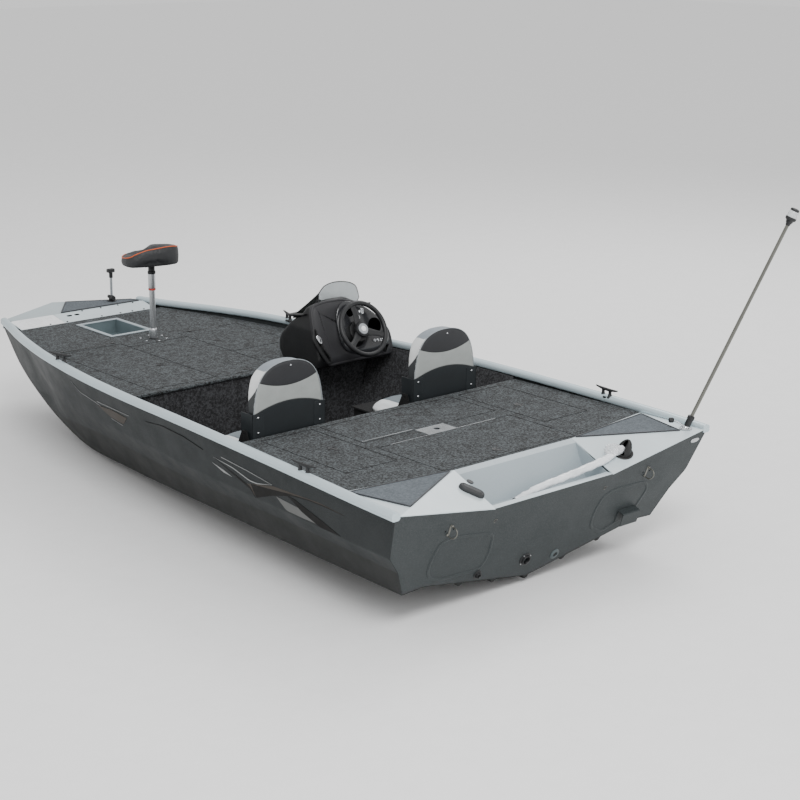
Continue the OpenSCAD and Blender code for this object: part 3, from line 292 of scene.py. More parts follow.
def slabShape(outline, depth, origin, across, over, bevel=.0015):
    # an outline in a plane given its depth along the plane's normal, edges eased by shrinking the end rings
    p = np.asarray(outline, float)
    normal = cornerNormals(p)
    a, o = np.asarray(across, float), np.asarray(over, float)
    w = np.cross(a, o)
    rings = []
    for z, d in ((0, bevel), (bevel, 0), (depth - bevel, 0), (depth, bevel)):
        q = p - normal * d
        rings.append(np.asarray(origin, float) + q[:, :1] * a + q[:, 1:] * o + z * w)
    return ringShape(rings)


def roundedBox(w, h, r, steps=5):
    # the outline of a rectangle with round corners, about its middle
    a = np.linspace(0, math.pi / 2, steps)
    corner = np.stack([np.cos(a), np.sin(a)], -1) * r
    turn = lambda k: corner @ np.array([[math.cos(k), math.sin(k)], [-math.sin(k), math.cos(k)]])
    return np.vstack([turn(q * math.pi / 2) + np.array(c) * [w / 2 - r, h / 2 - r] for q,
        c in enumerate(((1, 1), (-1, 1), (-1, -1), (1, -1)))])


# materials
def nodeIn(tree, kind, **settings):
    n = tree.nodes.new(kind)
    for key, value in settings.items():
        setattr(n, key, value)
    return n


def feed(tree, node, **values):
    for key, value in values.items():
        socket = node.inputs[int(key[1:])] if key[0] == "i" and key[1:].isdigit() else node.inputs[key]
        if isinstance(value, bpy.types.NodeSocket):
            tree.links.new(value, socket)
        else:
            socket.default_value = value
    return node


def mathNode(tree, how, a, b=0.0):
    n = nodeIn(tree, "ShaderNodeMath", operation=how)
    feed(tree, n, i0=a, i1=b)
    return n.outputs[0]


plus, minus, times = (lambda tree, a, b, how=how: mathNode(tree, how, a, b) for how in ("ADD", "SUBTRACT",
    "MULTIPLY"))


def mixColor(tree, fac, a, b):
    n = nodeIn(tree, "ShaderNodeMix", data_type="RGBA")
    feed(tree, n, i0=fac, i6=a, i7=b)
    return n.outputs[2]


def remap(tree, value, a, b, c=0.0, d=1.0):
    n = nodeIn(tree, "ShaderNodeMapRange")
    feed(tree, n, i0=value, i1=a, i2=b, i3=c, i4=d)
    return n.outputs[0]


def noiseNode(tree, vector, scale, detail=2.0, rough=.5):
    n = nodeIn(tree, "ShaderNodeTexNoise")
    feed(tree, n, Vector=vector, Scale=scale, Detail=detail, Roughness=rough)
    return n.outputs[0]


def newGroup(name, colors=(), floats=()):
    tree = bpy.data.node_groups.new(name, "ShaderNodeTree")
    for given, kind in ((colors, "Color"), (floats, "Float")):
        for key, value in given:
            tree.interface.new_socket(key, in_out="INPUT", socket_type="NodeSocket" + kind).default_value = value
    for key, kind in (("Color", "Color"), ("Roughness", "Float"), ("Normal", "Vector")):
        tree.interface.new_socket(key, in_out="OUTPUT", socket_type="NodeSocket" + kind)
    start, end = nodeIn(tree, "NodeGroupInput"), nodeIn(tree, "NodeGroupOutput")
    place = nodeIn(tree, "ShaderNodeTexCoord").outputs["Object"]
    return tree, start.outputs, end, place


def bump(tree, height, strength, distance):
    n = nodeIn(tree, "ShaderNodeBump")
    feed(tree, n, Strength=strength, Distance=distance, Height=height)
    return n.outputs[0]


def grey(r, g=None, b=None):
    # a colour given as it looks on a screen, 0 to 255, as linear light
    c = np.array([r, r if g is None else g, r if b is None else b]) / 255
    lin = np.where(c <= .04045, c / 12.92, ((c + .055) / 1.055) ** 2.4)
    return (float(lin[0]), float(lin[1]), float(lin[2]), 1.0)


def shaded(tree, color, value):
    n = nodeIn(tree, "ShaderNodeHueSaturation")
    feed(tree, n, Value=value, Color=color)
    return n.outputs[0]


def carpetGroup():
    t, i, o, place = newGroup("carpetPile", [("Dark", grey(60)), ("Light", grey(120))], [("Relief", .5)])
    patches = noiseNode(t, place, 16, 3, .6)
    tufts = noiseNode(t, place, 88, 3, .75)
    fine = noiseNode(t, place, 330, 2, .7)
    blend = plus(t, times(t, tufts, .9), times(t, fine, .4))
    blend = plus(t, blend, times(t, patches, .22))
    fac = remap(t, blend, .7, .85)
    feed(t, o, Color=mixColor(t, fac, i["Dark"], i["Light"]), Roughness=.95, Normal=bump(t, blend, i["Relief"], .004))
    return t


def paintGroup():
    t, i, o, place = newGroup("flakePaint", [("Base", grey(90)), ("Flake", grey(170))],
        [("Amount", .35), ("Wave", .15)])
    flakes = nodeIn(t, "ShaderNodeTexVoronoi")
    feed(t, flakes, Vector=place, Scale=620)
    split = nodeIn(t, "ShaderNodeSeparateColor")
    feed(t, split, i0=flakes.outputs["Color"])
    spark = remap(t, split.outputs[0], 0, 1)
    glint = times(t, mathNode(t, "POWER", spark, 4.0), i["Amount"])
    broad = remap(t, noiseNode(t, place, 2.3, 4, .55), .3, .7, -.05, .05)
    shade = shaded(t, i["Base"], plus(t, 1.0, broad))
    wavy = noiseNode(t, place, 3.1, 2, .4)
    feed(t, o, Color=mixColor(t, glint, shade, i["Flake"]), Roughness=remap(t, noiseNode(t, place, 7, 4, .6), .3, .7,
        .42, .54), Normal=bump(t, wavy, i["Wave"], .02))
    return t


def vinylGroup():
    t, i, o, place = newGroup("vinylGrain", [("Base", grey(150))], [("Grain", .35), ("Scale", 420.0)])
    cells = nodeIn(t, "ShaderNodeTexVoronoi", feature="SMOOTH_F1")
    feed(t, cells, Vector=place, Scale=i["Scale"])
    soft = noiseNode(t, place, 22, 3, .6)
    feed(t, o, Color=shaded(t, i["Base"], remap(t, soft, .3, .7, .93, 1.06)), Roughness=remap(t, cells.outputs[0], 0,
        .6, .42, .58), Normal=bump(t, plus(t, cells.outputs[0], times(t, soft, 1.5)), i["Grain"], .0012))
    return t


def plasticGroup():
    t, i, o, place = newGroup("mouldedPlastic", [("Base", grey(30))], [("Grain", .25), ("Low", .38), ("High", .55),
        ("Dust", 1.0)])
    grain = noiseNode(t, place, 900, 2, .6)
    dust = noiseNode(t, place, 9, 4, .65)
    cloud = times(t, remap(t, dust, .3, .75, -.12, .14), i["Dust"])
    feed(t, o, Color=shaded(t, i["Base"], plus(t, 1.0, cloud)), Roughness=remap(t, dust, .3, .7, i["Low"], i["High"]),
        Normal=bump(t, grain, i["Grain"], .0008))
    return t


def metalGroup():
    t, i, o, place = newGroup("brushedMetal", [("Base", grey(200))], [("Low", .2), ("High", .36)])
    scaled = nodeIn(t, "ShaderNodeVectorMath", operation="MULTIPLY")
    feed(t, scaled, i0=place, i1=(900.0, 30.0, 900.0))
    lines = noiseNode(t, scaled.outputs[0], 1.0, 3, .6)
    stain = noiseNode(t, place, 12, 4, .6)
    feed(t, o, Color=shaded(t, i["Base"], remap(t, stain, .3, .7, .9, 1.06)),
        Roughness=remap(t, lines, .3, .7, i["Low"], i["High"]), Normal=bump(t, lines, .06, .0005))
    return t


groups = {"carpet": carpetGroup(), "paint": paintGroup(), "vinyl": vinylGroup(), "plastic": plasticGroup(),
    "metal": metalGroup()}


def newMaterial(name):
    m = bpy.data.materials.new(name)
    m.use_nodes = True
    return m, m.node_tree, m.node_tree.nodes["Principled BSDF"]


def material(name, kind, **values):
    # a Principled shader whose colour, roughness and relief come from one of the shared groups
    m, t, p = newMaterial(name)
    g = nodeIn(t, "ShaderNodeGroup")
    g.node_tree = groups[kind]
    for key in ("Color", "Roughness", "Normal"):
        t.links.new(g.outputs[key], p.inputs["Base Color" if key == "Color" else key])
    for key, value in values.items():
        (g if key in g.inputs else p).inputs[key.replace("_", " ")].default_value = value
    return m


mats = {
    "hullSide": material("hullSidePaint", "paint", Base=grey(30, 34, 35), Flake=grey(86, 92, 94), Amount=.26, Wave=.2,
        Specular_IOR_Level=.14),
    "hullLow": material("hullLowPaint", "paint", Base=grey(24, 26, 25), Flake=grey(70, 74, 73), Amount=.25,
        Specular_IOR_Level=.15),
    "transom": material("transomPaint", "paint", Base=grey(45, 50, 51), Flake=grey(112, 118, 120), Amount=.3,
        Specular_IOR_Level=.22),
    "pale": material("paleDeckPaint", "paint", Base=grey(202, 214, 218), Flake=grey(225), Amount=.25, Wave=.1,
        Metallic=.05, Coat_Weight=.3, Coat_Roughness=.12),
    "well": material("wellPaint", "paint", Base=grey(160, 172, 178), Flake=grey(205), Amount=.25, Wave=.2,
        Metallic=.05, Coat_Weight=.25, Coat_Roughness=.15),
    "rail": material("railPaint", "paint", Base=grey(190, 206, 212), Flake=grey(225), Amount=.3, Wave=.06,
        Metallic=.3, Coat_Weight=.35, Coat_Roughness=.1),
    "carpet": material("deckCarpet", "carpet", Dark=grey(3, 3, 4), Light=grey(78, 84, 87), Relief=.8,
        Sheen_Weight=.05),
    "carpetDark": material("wallCarpet", "carpet", Dark=grey(20, 20, 22), Light=grey(66, 67, 70), Relief=.7,
        Sheen_Weight=.1),
    "carpetBlack": material("soleCarpet", "carpet", Dark=grey(3, 3, 4), Light=grey(16, 16, 17), Relief=.7),
    "pad": material("gripPad", "carpet", Dark=grey(80, 86, 91), Light=grey(98, 105, 111), Relief=.3),
    "padEdge": material("gripPadEdge", "plastic", Base=grey(44, 46, 50)),
    "vinylDark": material("vinylCharcoal", "vinyl", Base=grey(44, 48, 50)),
    "vinylLean": material("vinylLeanSeat", "vinyl", Base=grey(42, 43, 45)),
    "vinylPale": material("vinylPiping", "vinyl", Base=grey(150, 156, 160)),
    "plateDark": material("plateCharcoal", "plastic", Base=grey(28, 33, 36), Grain=.3),
    "black": material("blackPlastic", "plastic", Base=grey(24, 25, 27)),
    "console": material("consolePlastic", "plastic", Base=grey(12, 13, 15), Grain=.5),
    "dash": material("dashPlastic", "plastic", Base=grey(40, 40, 43), Grain=.6),
    "gloss": material("glossPanel", "plastic", Base=grey(44, 45, 48), Grain=.05, Low=.16, High=.3, Coat_Weight=.5,
        Coat_Roughness=.08),
    "matte": material("matteBlack", "plastic", Base=grey(3, 3, 4), Grain=.02, Low=.7, High=.8,
        Specular_IOR_Level=0.0),
    # near-black used as painted shade inside the boot's opening and in the gaps round the lids
    "holeShadeBlack": material("gaugeGlass", "plastic", Base=grey(5, 5, 6), Grain=.02, Low=.6, High=.7,
        Specular_IOR_Level=.05),
    "grip": material("wheelGrip", "plastic", Base=grey(28, 29, 31), Grain=.4),
    "satin": material("satinGrey", "metal", Base=grey(172, 176, 180), Low=.25, High=.4, Metallic=.6),
    "white": material("whitePlastic", "plastic", Base=grey(240, 241, 242), Grain=.1, Low=.22, High=.36),
    "tray": material("pedalTrayPaint", "plastic", Base=grey(104, 118, 122), Grain=.3),
    "band": material("lowerBandPaint", "paint", Base=grey(23, 25, 24), Flake=grey(70, 74, 73), Amount=.25,
        Specular_IOR_Level=.15),
    "blackSoft": material("softBlack", "plastic", Base=grey(40, 42, 44), Grain=.3, Low=.5, High=.65),
    "transomLight": material("ringGrey", "plastic", Base=grey(70, 80, 82), Grain=.1),
    "poleMetal": material("poleStainless", "metal", Base=grey(112, 112, 106), Low=.3, High=.45, Metallic=.75),
    "rubber": material("blackRubber", "plastic", Base=grey(18), Low=.45, High=.65),
    "chrome": material("chromeFinish", "metal", Base=grey(215, 217, 220), Low=.06, High=.16, Metallic=1.0),
    "bright": material("brightAluminium", "metal", Base=grey(196, 199, 201), Low=.24, High=.4, Metallic=.9),
    "bin": material("binAluminium", "metal", Base=grey(150, 155, 158), Low=.4, High=.55, Metallic=.7),
    "wrap": material("plasticWrap", "plastic", Base=grey(232, 235, 238), Grain=.3, Low=.16, High=.3, Coat_Weight=.4),
    "orange": material("orangePiping", "plastic", Base=grey(214, 92, 34)),
    "red": material("redRing", "plastic", Base=grey(176, 44, 30)),
    "stripeBlack": material("stripeBlack", "plastic", Base=grey(14, 13, 12), Grain=.05, Specular_IOR_Level=.1),
    "stripeBronze": material("stripeBronze", "plastic", Base=grey(66, 61, 56), Grain=.05, Specular_IOR_Level=.1),
    "stripeSilver": material("stripeSilver", "plastic", Base=grey(138, 140, 140), Grain=.05),
    "stripeGrey": material("stripeGrey", "plastic", Base=grey(100, 101, 100), Grain=.05, Specular_IOR_Level=.1),
    "capGrey": material("capGreyPaint", "paint", Base=grey(168, 181, 185), Flake=grey(205), Amount=.2, Wave=.1,
        Coat_Weight=.25, Coat_Roughness=.15),
    "vinylTop": material("vinylBlueGrey", "vinyl", Base=grey(112, 122, 128)),
    "vinylWhite": material("vinylWhite", "vinyl", Base=grey(222, 225, 226)),
}


def screenMaterial(name, color, alpha):
    m, t, p = newMaterial(name)
    place = nodeIn(t, "ShaderNodeTexCoord").outputs["Object"]
    haze = remap(t, noiseNode(t, place, 14, 3, .5), .3, .7, .04, .12)
    feed(t, p, Roughness=haze, IOR=1.3, Alpha=alpha, **{"Base Color": color, "Transmission Weight": .25})
    return m


mats["screen"] = screenMaterial("paleScreen", grey(200, 206, 208), .86)
mats["screenDark"] = screenMaterial("smokedWing", grey(24, 27, 26), .93)
mats["lens"] = screenMaterial("lampLens", grey(225, 228, 230), .8)
mats["film"] = screenMaterial("clearFilm", grey(238, 240, 242), .62)

nodeFinish = {
    "hullLow": ["bottom"], "transom": ["transom", "transom_fittings"], "hullSide": ["side_port", "side_starboard"],
    "rail": ["gunwales"], "capGrey": ["bow_cap"], "pad": ["pads"], "pale": ["bow_riser", "stern_decks"],
    "well": ["motor_well"],
    "chrome": ["bow_eye"], "bright": ["seat_pedestal", "bow_seat_post", "seat_plate"], "bin": ["front_bins",
        "rear_bins"],
    "tray": ["pedal_tray"], "carpetDark": ["bulkheads", "liners"], "carpetBlack": ["sole", "seat_boxes"],
    "carpet": ["front_deck", "front_lid_port", "front_lid_starboard", "front_lid_middle", "rear_deck",
        "rear_lid_port", "rear_lid_starboard", "rear_lid_forward", "rear_lid_aft"],
    "vinylDark": ["bow_seat", "seat_cushions", "back_port", "back_starboard"],
    "console": ["console", "dash_panel", "steering_wheel"], "screen": ["windscreen"], "rubber": ["rigging_boot"],
    "wrap": ["rigging_hose"], "black": ["bow_light_base", "cleats", "stern_light", "bow_light"]}
for finish, names in nodeFinish.items():
    for nodeName in names:
        ob = nodes[nodeName]
        if not ob.material_slots:
            ob.data.materials.append(mats[finish])
        for slot in ob.material_slots:
            slot.material = mats[finish]
print("materials set")

# hull skins
# columns: distance from the transom, half width and height of gunwale, upper knuckle, lower knuckle, chine, inner
# chine, keel
hullTable = np.array([
    [0, .988, .402, .948, .184, .87, .09, .806, -.04, .684, -.032, -.165],
    [.24, .988, .41, .946, .186, .874, .1, .8, -.04, .68, -.032, -.165],
    [.9, .965, .424, .914, .188, .85, .104, .775, -.046, .655, -.038, -.166],
    [1.6, .932, .43, .874, .182, .79, .07, .712, -.072, .61, -.064, -.17],
    [2.2, .884, .419, .82, .184, .73, .056, .646, -.102, .588, -.096, -.176],
    [2.7, .828, .412, .752, .166, .664, .04, .568, -.138, .552, -.135, -.184],
    [3.15, .757, .41, .662, .125, .592, .005, .514, -.15, .498, -.147, -.19],
    [3.5, .672, .403, .532, .066, .508, -.028, .49, -.074, .476, -.072, -.152],
    [3.75, .597, .396, .5, .07, .49, .048, .483, .036, .469, .038, -.078],
    [3.95, .53, .392, .49, .19, .486, .176, .48, .166, .466, .168, .046],
    [4.13, .476, .39, .476, .36, .476, .355, .476, .35, .462, .35, .346]])
rakeAngle = math.radians(20.8)
hull = {"plate": .004, "railLow": .019, "railIn": .02576, "railOut": .02024, "rake": math.tan(rakeAngle),
    "topZ": .402}


# the first stretch is straight; each later one is the same cubic as the hull's own rows
rows = np.vstack([hullTable[:1], smoothPath(hullTable[1:], 6)])


def hullAt(y):
    return np.array([np.interp(y, rows[:, 0], rows[:, k]) for k in range(12)])


def halfAt(y, z):
    # outer half width where a level line at height z meets the side, straight between the knuckles
    y, z = np.broadcast_arrays(np.asarray(y, float), np.asarray(z, float))
    r = hullAt(y)
    out = np.where(z >= r[4], r[3] + (z - r[4]) / (r[2] - hull["railLow"] - r[4]) * (r[1] - r[3]),
        np.where(z >= r[6], r[5] + (z - r[6]) / np.maximum(r[4] - r[6], 1e-4) * (r[3] - r[5]),
        r[7] + (z - r[8]) / np.maximum(r[6] - r[8], 1e-4) * (r[5] - r[7])))
    return out


def roundedProfile(corners, ease, steps=4):
    # straight stretches between the corners, each inner corner replaced by a short curve
    out = [corners[0]]
    for a, b, c in zip(corners[:-2], corners[1:-1], corners[2:]):
        ea = np.minimum(ease / np.maximum(np.linalg.norm(b - a, axis=-1, keepdims=True), 1e-6), .45)
        ec = np.minimum(ease / np.maximum(np.linalg.norm(c - b, axis=-1, keepdims=True), 1e-6), .45)
        p, q = b + (a - b) * ea, b + (c - b) * ec
        for t in np.linspace(0, 1, steps):
            out.append((1 - t) ** 2 * p + 2 * t * (1 - t) * b + t ** 2 * q)
    out.append(corners[-1])
    return np.stack(out, 1)


def rakedFirst(points, nextPoints):
    # the first section lies in the raked transom, part of the way to the second
    t = ((hull["topZ"] - points[:, 2]) * hull["rake"] / nextPoints[:, 1])[:, None]
    mixed = points + (nextPoints - points) * t
    mixed[:, 1] = (hull["topZ"] - mixed[:, 2]) * hull["rake"]
    return mixed


def sideSkin(side):
    # sections through gunwale, two knuckles and chine, carried along the hull and given the plate's thickness
    skins = []
    for d in (0.0, hull["plate"]):
        drop = {1: hull["railLow"], 3: 0, 5: 0, 7: -d}
        corner = [np.stack([rows[:, k] - d, rows[:, 0], rows[:, k + 1] - drop[k]], -1) for k in (1, 3, 5, 7)]
        for c in corner:
            c[:1] = rakedFirst(c[:1], c[1:2])
        skins.append(roundedProfile(corner, .01))
    ring = np.concatenate([skins[0], skins[1][:, ::-1]], 1)
    ring[..., 0] *= side
    return ring


for side, nodeName in ((-1, "side_port"), (1, "side_starboard")):
    skin = loft("hullSide_" + ("port" if side < 0 else "starboard"), sideSkin(side), mats["hullSide"], angle=20)
    skin.data.materials.append(mats["band"])
    secondWhere(skin, lambda f: f.center[2] < hullAt(f.center[1])[6])
    dressed(skin, nodeName)

# stripes: thin films on the side, each a closed outline of distance, height pairs cut into level strips
stripes = [
    ("stripeBronze", [(1.113, .244), (1.079, .254), (.881, .297), (.722, .305), (.529, .317), (.354, .308),
        (.354, .3065), (.484, .312), (.625, .308), (.734, .296), (.895, .252), (1.059, .188)]),
    ("stripeBlack", [(1.079, .254), (1.059, .188), (.897, .248), (.733, .298), (.898, .276)]),
    ("stripeBlack", [(.354, .3065), (.484, .3115), (.625, .3075), (.734, .2955), (.895, .2515), (1.059, .188),
        (.895, .246), (.734, .29), (.625, .303), (.484, .308)]),
    ("stripeBlack", [(1.364, .308), (1.22, .262), (1.09, .222), (1.062, .186), (1.085, .236), (1.22, .272)]),
    ("stripeGrey", [(.877, .248), (.813, .197), (.67, .197), (.533, .2), (.41, .192), (.563, .212), (.7, .24)]),
    ("stripeBlack", [(.778, .279), (.73, .278), (.563, .236), (.41, .192), (.563, .191), (.686, .228)]),
    ("stripeSilver", [(1.296, .331), (1.077, .319), (.89, .3015), (.89, .3), (1.077, .316), (1.296, .328)]),
    ("stripeSilver", [(1.368, .31), (1.209, .301), (1.083, .272), (1.02, .273), (.89, .301), (1.02, .268),
        (1.083, .266), (1.209, .295)]),
    ("stripeSilver", [(1.392, .277), (1.304, .249), (1.235, .245), (1.3, .262)]),
    ("stripeSilver", [(2.854, .3405), (2.756, .302), (2.56, .29), (2.423, .264), (2.277, .2585), (2.423, .262),
        (2.56, .2875), (2.756, .299)]),
    ("stripeBronze", [(2.554, .278), (2.389, .296), (2.215, .293), (2.281, .242), (2.422, .245)]),
    ("stripeSilver", [(2.552, .302), (2.42, .308), (2.18, .315), (2.18, .313), (2.42, .305), (2.552, .299)]),
    ("stripeBlack", [(1.994, .332), (1.821, .355), (1.618, .35), (1.452, .325), (1.618, .347), (1.821, .352)]),
    ("stripeSilver", [(2.426, .239), (2.295, .231), (2.295, .229), (2.426, .237)])]


def stripeShape(outline, side, lift):
    # the outline's lowest and highest crossing with each cut across the boat, laid on the side and lifted by the film
    p = np.array(outline)
    q = np.roll(p, -1, 0)
    y = np.linspace(p[:, 0].min() + .0005, p[:, 0].max() - .0005, 70)
    low, high = np.full(len(y), 9.0), np.full(len(y), -9.0)
    for (ya, za), (yb, zb) in zip(p, q):
        if abs(yb - ya) > 1e-9:
            t = (y - ya) / (yb - ya)
            z = za + (zb - za) * t
            hit = (t >= 0) & (t <= 1)
            low[hit], high[hit] = np.minimum(low[hit], z[hit]), np.maximum(high[hit], z[hit])
    smooth = lambda v: np.convolve(np.pad(v, 2, mode="reflect", reflect_type="odd"), np.ones(5) / 5, mode="valid")
    a, b = smooth(low), smooth(high)
    b = np.maximum(b, a + .0012)
    t = np.linspace(0, 1, 5)
    z = a[:, None] * (1 - t) + b[:, None] * t
    yy = np.broadcast_to(y[:, None], z.shape)
    x = halfAt(yy, z)
    outer = np.stack([side * (x + lift), yy, z], -1)
    inner = np.stack([side * (x - .0002), yy, z], -1)
    return ringShape(np.concatenate([outer, inner[:, ::-1]], 1))


for k, (finish, outline) in enumerate(stripes):
    fitted("stripe%d" % k, [stripeShape(outline, s, .0004 + .00015 * k) for s in (-1, 1)], finish, angle=35)
print("hull skins made")

# gunwale rails
rail = {"profile": [(-1, -.55), (-1, .25), (-.93, .52), (-.76, .8), (-.5, .95), (-.2, 1.0), (.08, 1.0), (.16, .93),
    (.24, .93), (.32, .99), (.55, .9), (.78, .72), (.93, .48), (1.0, .18), (1.0, -.05), (.9, -.12), (.9, -.22),
    (1.0, -.3), (1.0, -.45), (.88, -.78), (.66, -.95), (.4, -1.0), (-.5, -1.0), (-.8, -.9)]}


def railRings(side):
    # the rail's section carried along the sheer line, wider outboard than inboard
    p = np.array(rail["profile"])
    half = np.where(p[:, 0] < 0, p[:, 0] * hull["railIn"], p[:, 0] * hull["railOut"])
    x = side * (rows[:, 1][:, None] + half)
    z = rows[:, 2][:, None] + p[:, 1] * hull["railLow"]
    return np.stack([x, np.broadcast_to(rows[:, 0][:, None], x.shape), z], -1)


fitted("gunwaleRails", [ringShape(railRings(s)) for s in (-1, 1)], "rail", angle=50, stands="gunwales")

# transom
faceOut = np.array([0, -math.cos(rakeAngle), -math.sin(rakeAngle)])   # out of the transom
faceUp = np.array([0, -math.sin(rakeAngle), math.cos(rakeAngle)])     # up along the transom


def onTransom(x, z, lift=0.0):
    x, z = np.broadcast_arrays(np.asarray(x, float), np.asarray(z, float))
    base = np.stack([x, (hull["topZ"] - z) * hull["rake"], z], -1)
    return base + faceOut * lift


def flatBead(path, width, height):
    # a low half-round bead along a closed path on the transom
    along = unit(np.roll(path, -1, 0) - np.roll(path, 1, 0))
    side = np.cross(along, faceOut)
    a = np.linspace(0, math.pi, 7)
    arc = np.concatenate([np.stack([np.cos(a) * width, np.sin(a) * height], -1),
        [[-width * .6, -.0006], [width * .6, -.0006]]])
    ring = path[:, None] + arc[None, :, :1] * side[:, None] + arc[None, :, 1:] * faceOut
    return ring.reshape(-1, 3), torusFaces(len(path), len(arc))


ovals = {-1: [(-.681, .041), (-.646, .002), (-.587, -.018), (-.48, -.024), (-.373, -.029), (-.335, -.006),
    (-.322, .045), (-.324, .095), (-.334, .136), (-.374, .16), (-.455, .178), (-.54, .191), (-.596, .198),
    (-.641, .192), (-.667, .166), (-.684, .105)], 1: [(.348, .038), (.362, .006), (.39, -.012), (.451, -.037),
    (.54, -.008), (.61, .012), (.645, .042), (.671, .093), (.684, .13), (.68, .152), (.653, .179), (.598, .188),
    (.52, .19), (.438, .192), (.376, .171), (.352, .13), (.345, .085)]}


def easedLoop(corners, steps=5):
    # a smooth closed line through the corners
    c = np.array(corners, float)
    return smoothPath(np.vstack([c[-2:], c, c[:2]]), steps)[2 * steps:(2 + len(c)) * steps]


fitted("transomPanels", [flatBead(onTransom(*easedLoop(ovals[s]).T, .0002), .0085, .003) for s in (-1, 1)], "transom",
    angle=60)

fitted("transomCapping", [blockShape((-.3755, .0405, .2921), (.3755, .076, .2943), .0008)], "pale", angle=35)

fitted("transomHoleRings", [turnedShape([(0.0, 0.0), (.0105, 0.0), (.0112, .001), (.01, .0018), (.009, .0012),
    (0.0, .001)], onTransom(x, .222), faceOut, 24) for x in (-.348, .357)], "poleMetal", angle=35)
# black discs inside the rings: painted shade standing in for the open holes
fitted("transomHoleShade", [turnedShape([(0.0, .0009), (.009, .0009), (.009, .0019), (0.0, .0022)], onTransom(x, .222),
    faceOut, 24) for x in (-.348, .357)], "black", angle=35)
fitted("cornerBadge", [slabShape(np.stack([np.cos(around(32)) * .03, np.sin(around(32)) * .013], -1), .0022,
    onTransom(.925, .352), (1, 0, 0), faceUp)], "bright", angle=35)
print("transom dressed")

# visible fixings on the decks
latchPlaces = [  # body, x, y, top of the deck
    ("rear_lid_port", -.59, .893, .4), ("rear_lid_starboard", .587, .868, .4), ("rear_lid_forward", .009, 1.115,
            .4),
    ("rear_lid_aft", -.018, .405, .4), ("front_lid_port", -.287, 2.754, .368), ("front_lid_starboard", .284,
            3.0215, .368),
    ("front_lid_middle", .028, 2.387, .368)]
for body, x, y, z in latchPlaces:
    cup = turnedShape([(0.0, -.006), (.014, -.006), (.016, -.001), (.0172, .0012), (.0215, .0022), (.0235, .0014),
        (.0235, 0.0), (.02, -.0004)], (x, y, z + .0003), (0, 0, 1), 36)
    bar = blockShape((x - .0055, y - .019, z - .0035), (x + .0055, y + .019, z + .0012), .0012)
    fitted("latch_" + body, [cup, bar], "black", body, angle=35)

# upholstery
seatPlaces = {"port": ("back_port", -.552), "starboard": ("back_starboard", .45)}
backShape = {"aft": 1.268, "fore": 1.352, "floor": .4, "ease": .01, "swell": .004,
    "half": [(-.026, .206), (0.0, .208), (.06, .209), (.115, .207), (.16, .201), (.2, .193), (.235, .182),
    (.265, .167), (.29, .148), (.308, .126), (.322, .099), (.332, .067), (.3375, .034), (.3385, .01)]}
panelCurve = {"crown": (.219, 1.15), "lower": (.144, -.95)}


def resample(line, count):
    # points at equal steps of length along a line of points
    line = np.asarray(line, float)
    run = np.concatenate([[0], np.cumsum(np.linalg.norm(np.diff(line, axis=0), axis=1))])
    s = np.linspace(0, run[-1], count)
    return np.stack([np.interp(s, run, line[:, k]) for k in range(line.shape[1])], -1)


def edgeDistance(points, outline):
    # shortest distance in the plane from each point to a closed outline
    a, b = outline, np.roll(outline, -1, 0)
    ab = b - a
    ap = points[:, None] - a[None]
    t = np.clip(np.sum(ap * ab, -1) / np.maximum(np.sum(ab * ab, -1), 1e-12), 0, 1)
    return np.min(np.linalg.norm(ap - t[..., None] * ab, axis=-1), axis=1)


backSide = resample(smoothPath([(h, z) for z, h in backShape["half"]], 6), 64)


def seatBackMesh(name, centre, body, panel, boxing):
    # a front and a rear sheet, each curved down at its edge by the distance to the outline, and a band between them
    side, rowsIn, colsIn = backSide, len(backSide), 33
    s = np.sin(np.linspace(-math.pi / 2, math.pi / 2, colsIn))
    u = side[:, :1] * s[None]
    v = np.broadcast_to(side[:, 1:], u.shape)
    ring = np.vstack([side, side[::-1] * [-1, 1]])
    d = edgeDistance(np.stack([u, v], -1).reshape(-1, 2), ring).reshape(u.shape)
    r = backShape["ease"]
    roll = r - np.sqrt(np.maximum(r * r - np.maximum(r - d, 0) ** 2, 0))
    swell = backShape["swell"] * (1 - np.exp(-d / .035))
    yAft = backShape["aft"] + roll - swell * .35
    yFore = backShape["fore"] - .027 * np.clip((.27 - v) / .16, 0, 1) - roll + swell * 2.2
    sheets = [np.stack([centre + u, y, backShape["floor"] + v], -1) for y in (yAft, yFore)]
    pts = np.concatenate([q.reshape(-1, 3) for q in sheets])
    ob = makePiece(name, pts, shellFaces(rowsIn, colsIn), panel, body, 50)
    ob.data.materials.append(boxing)
    return ob


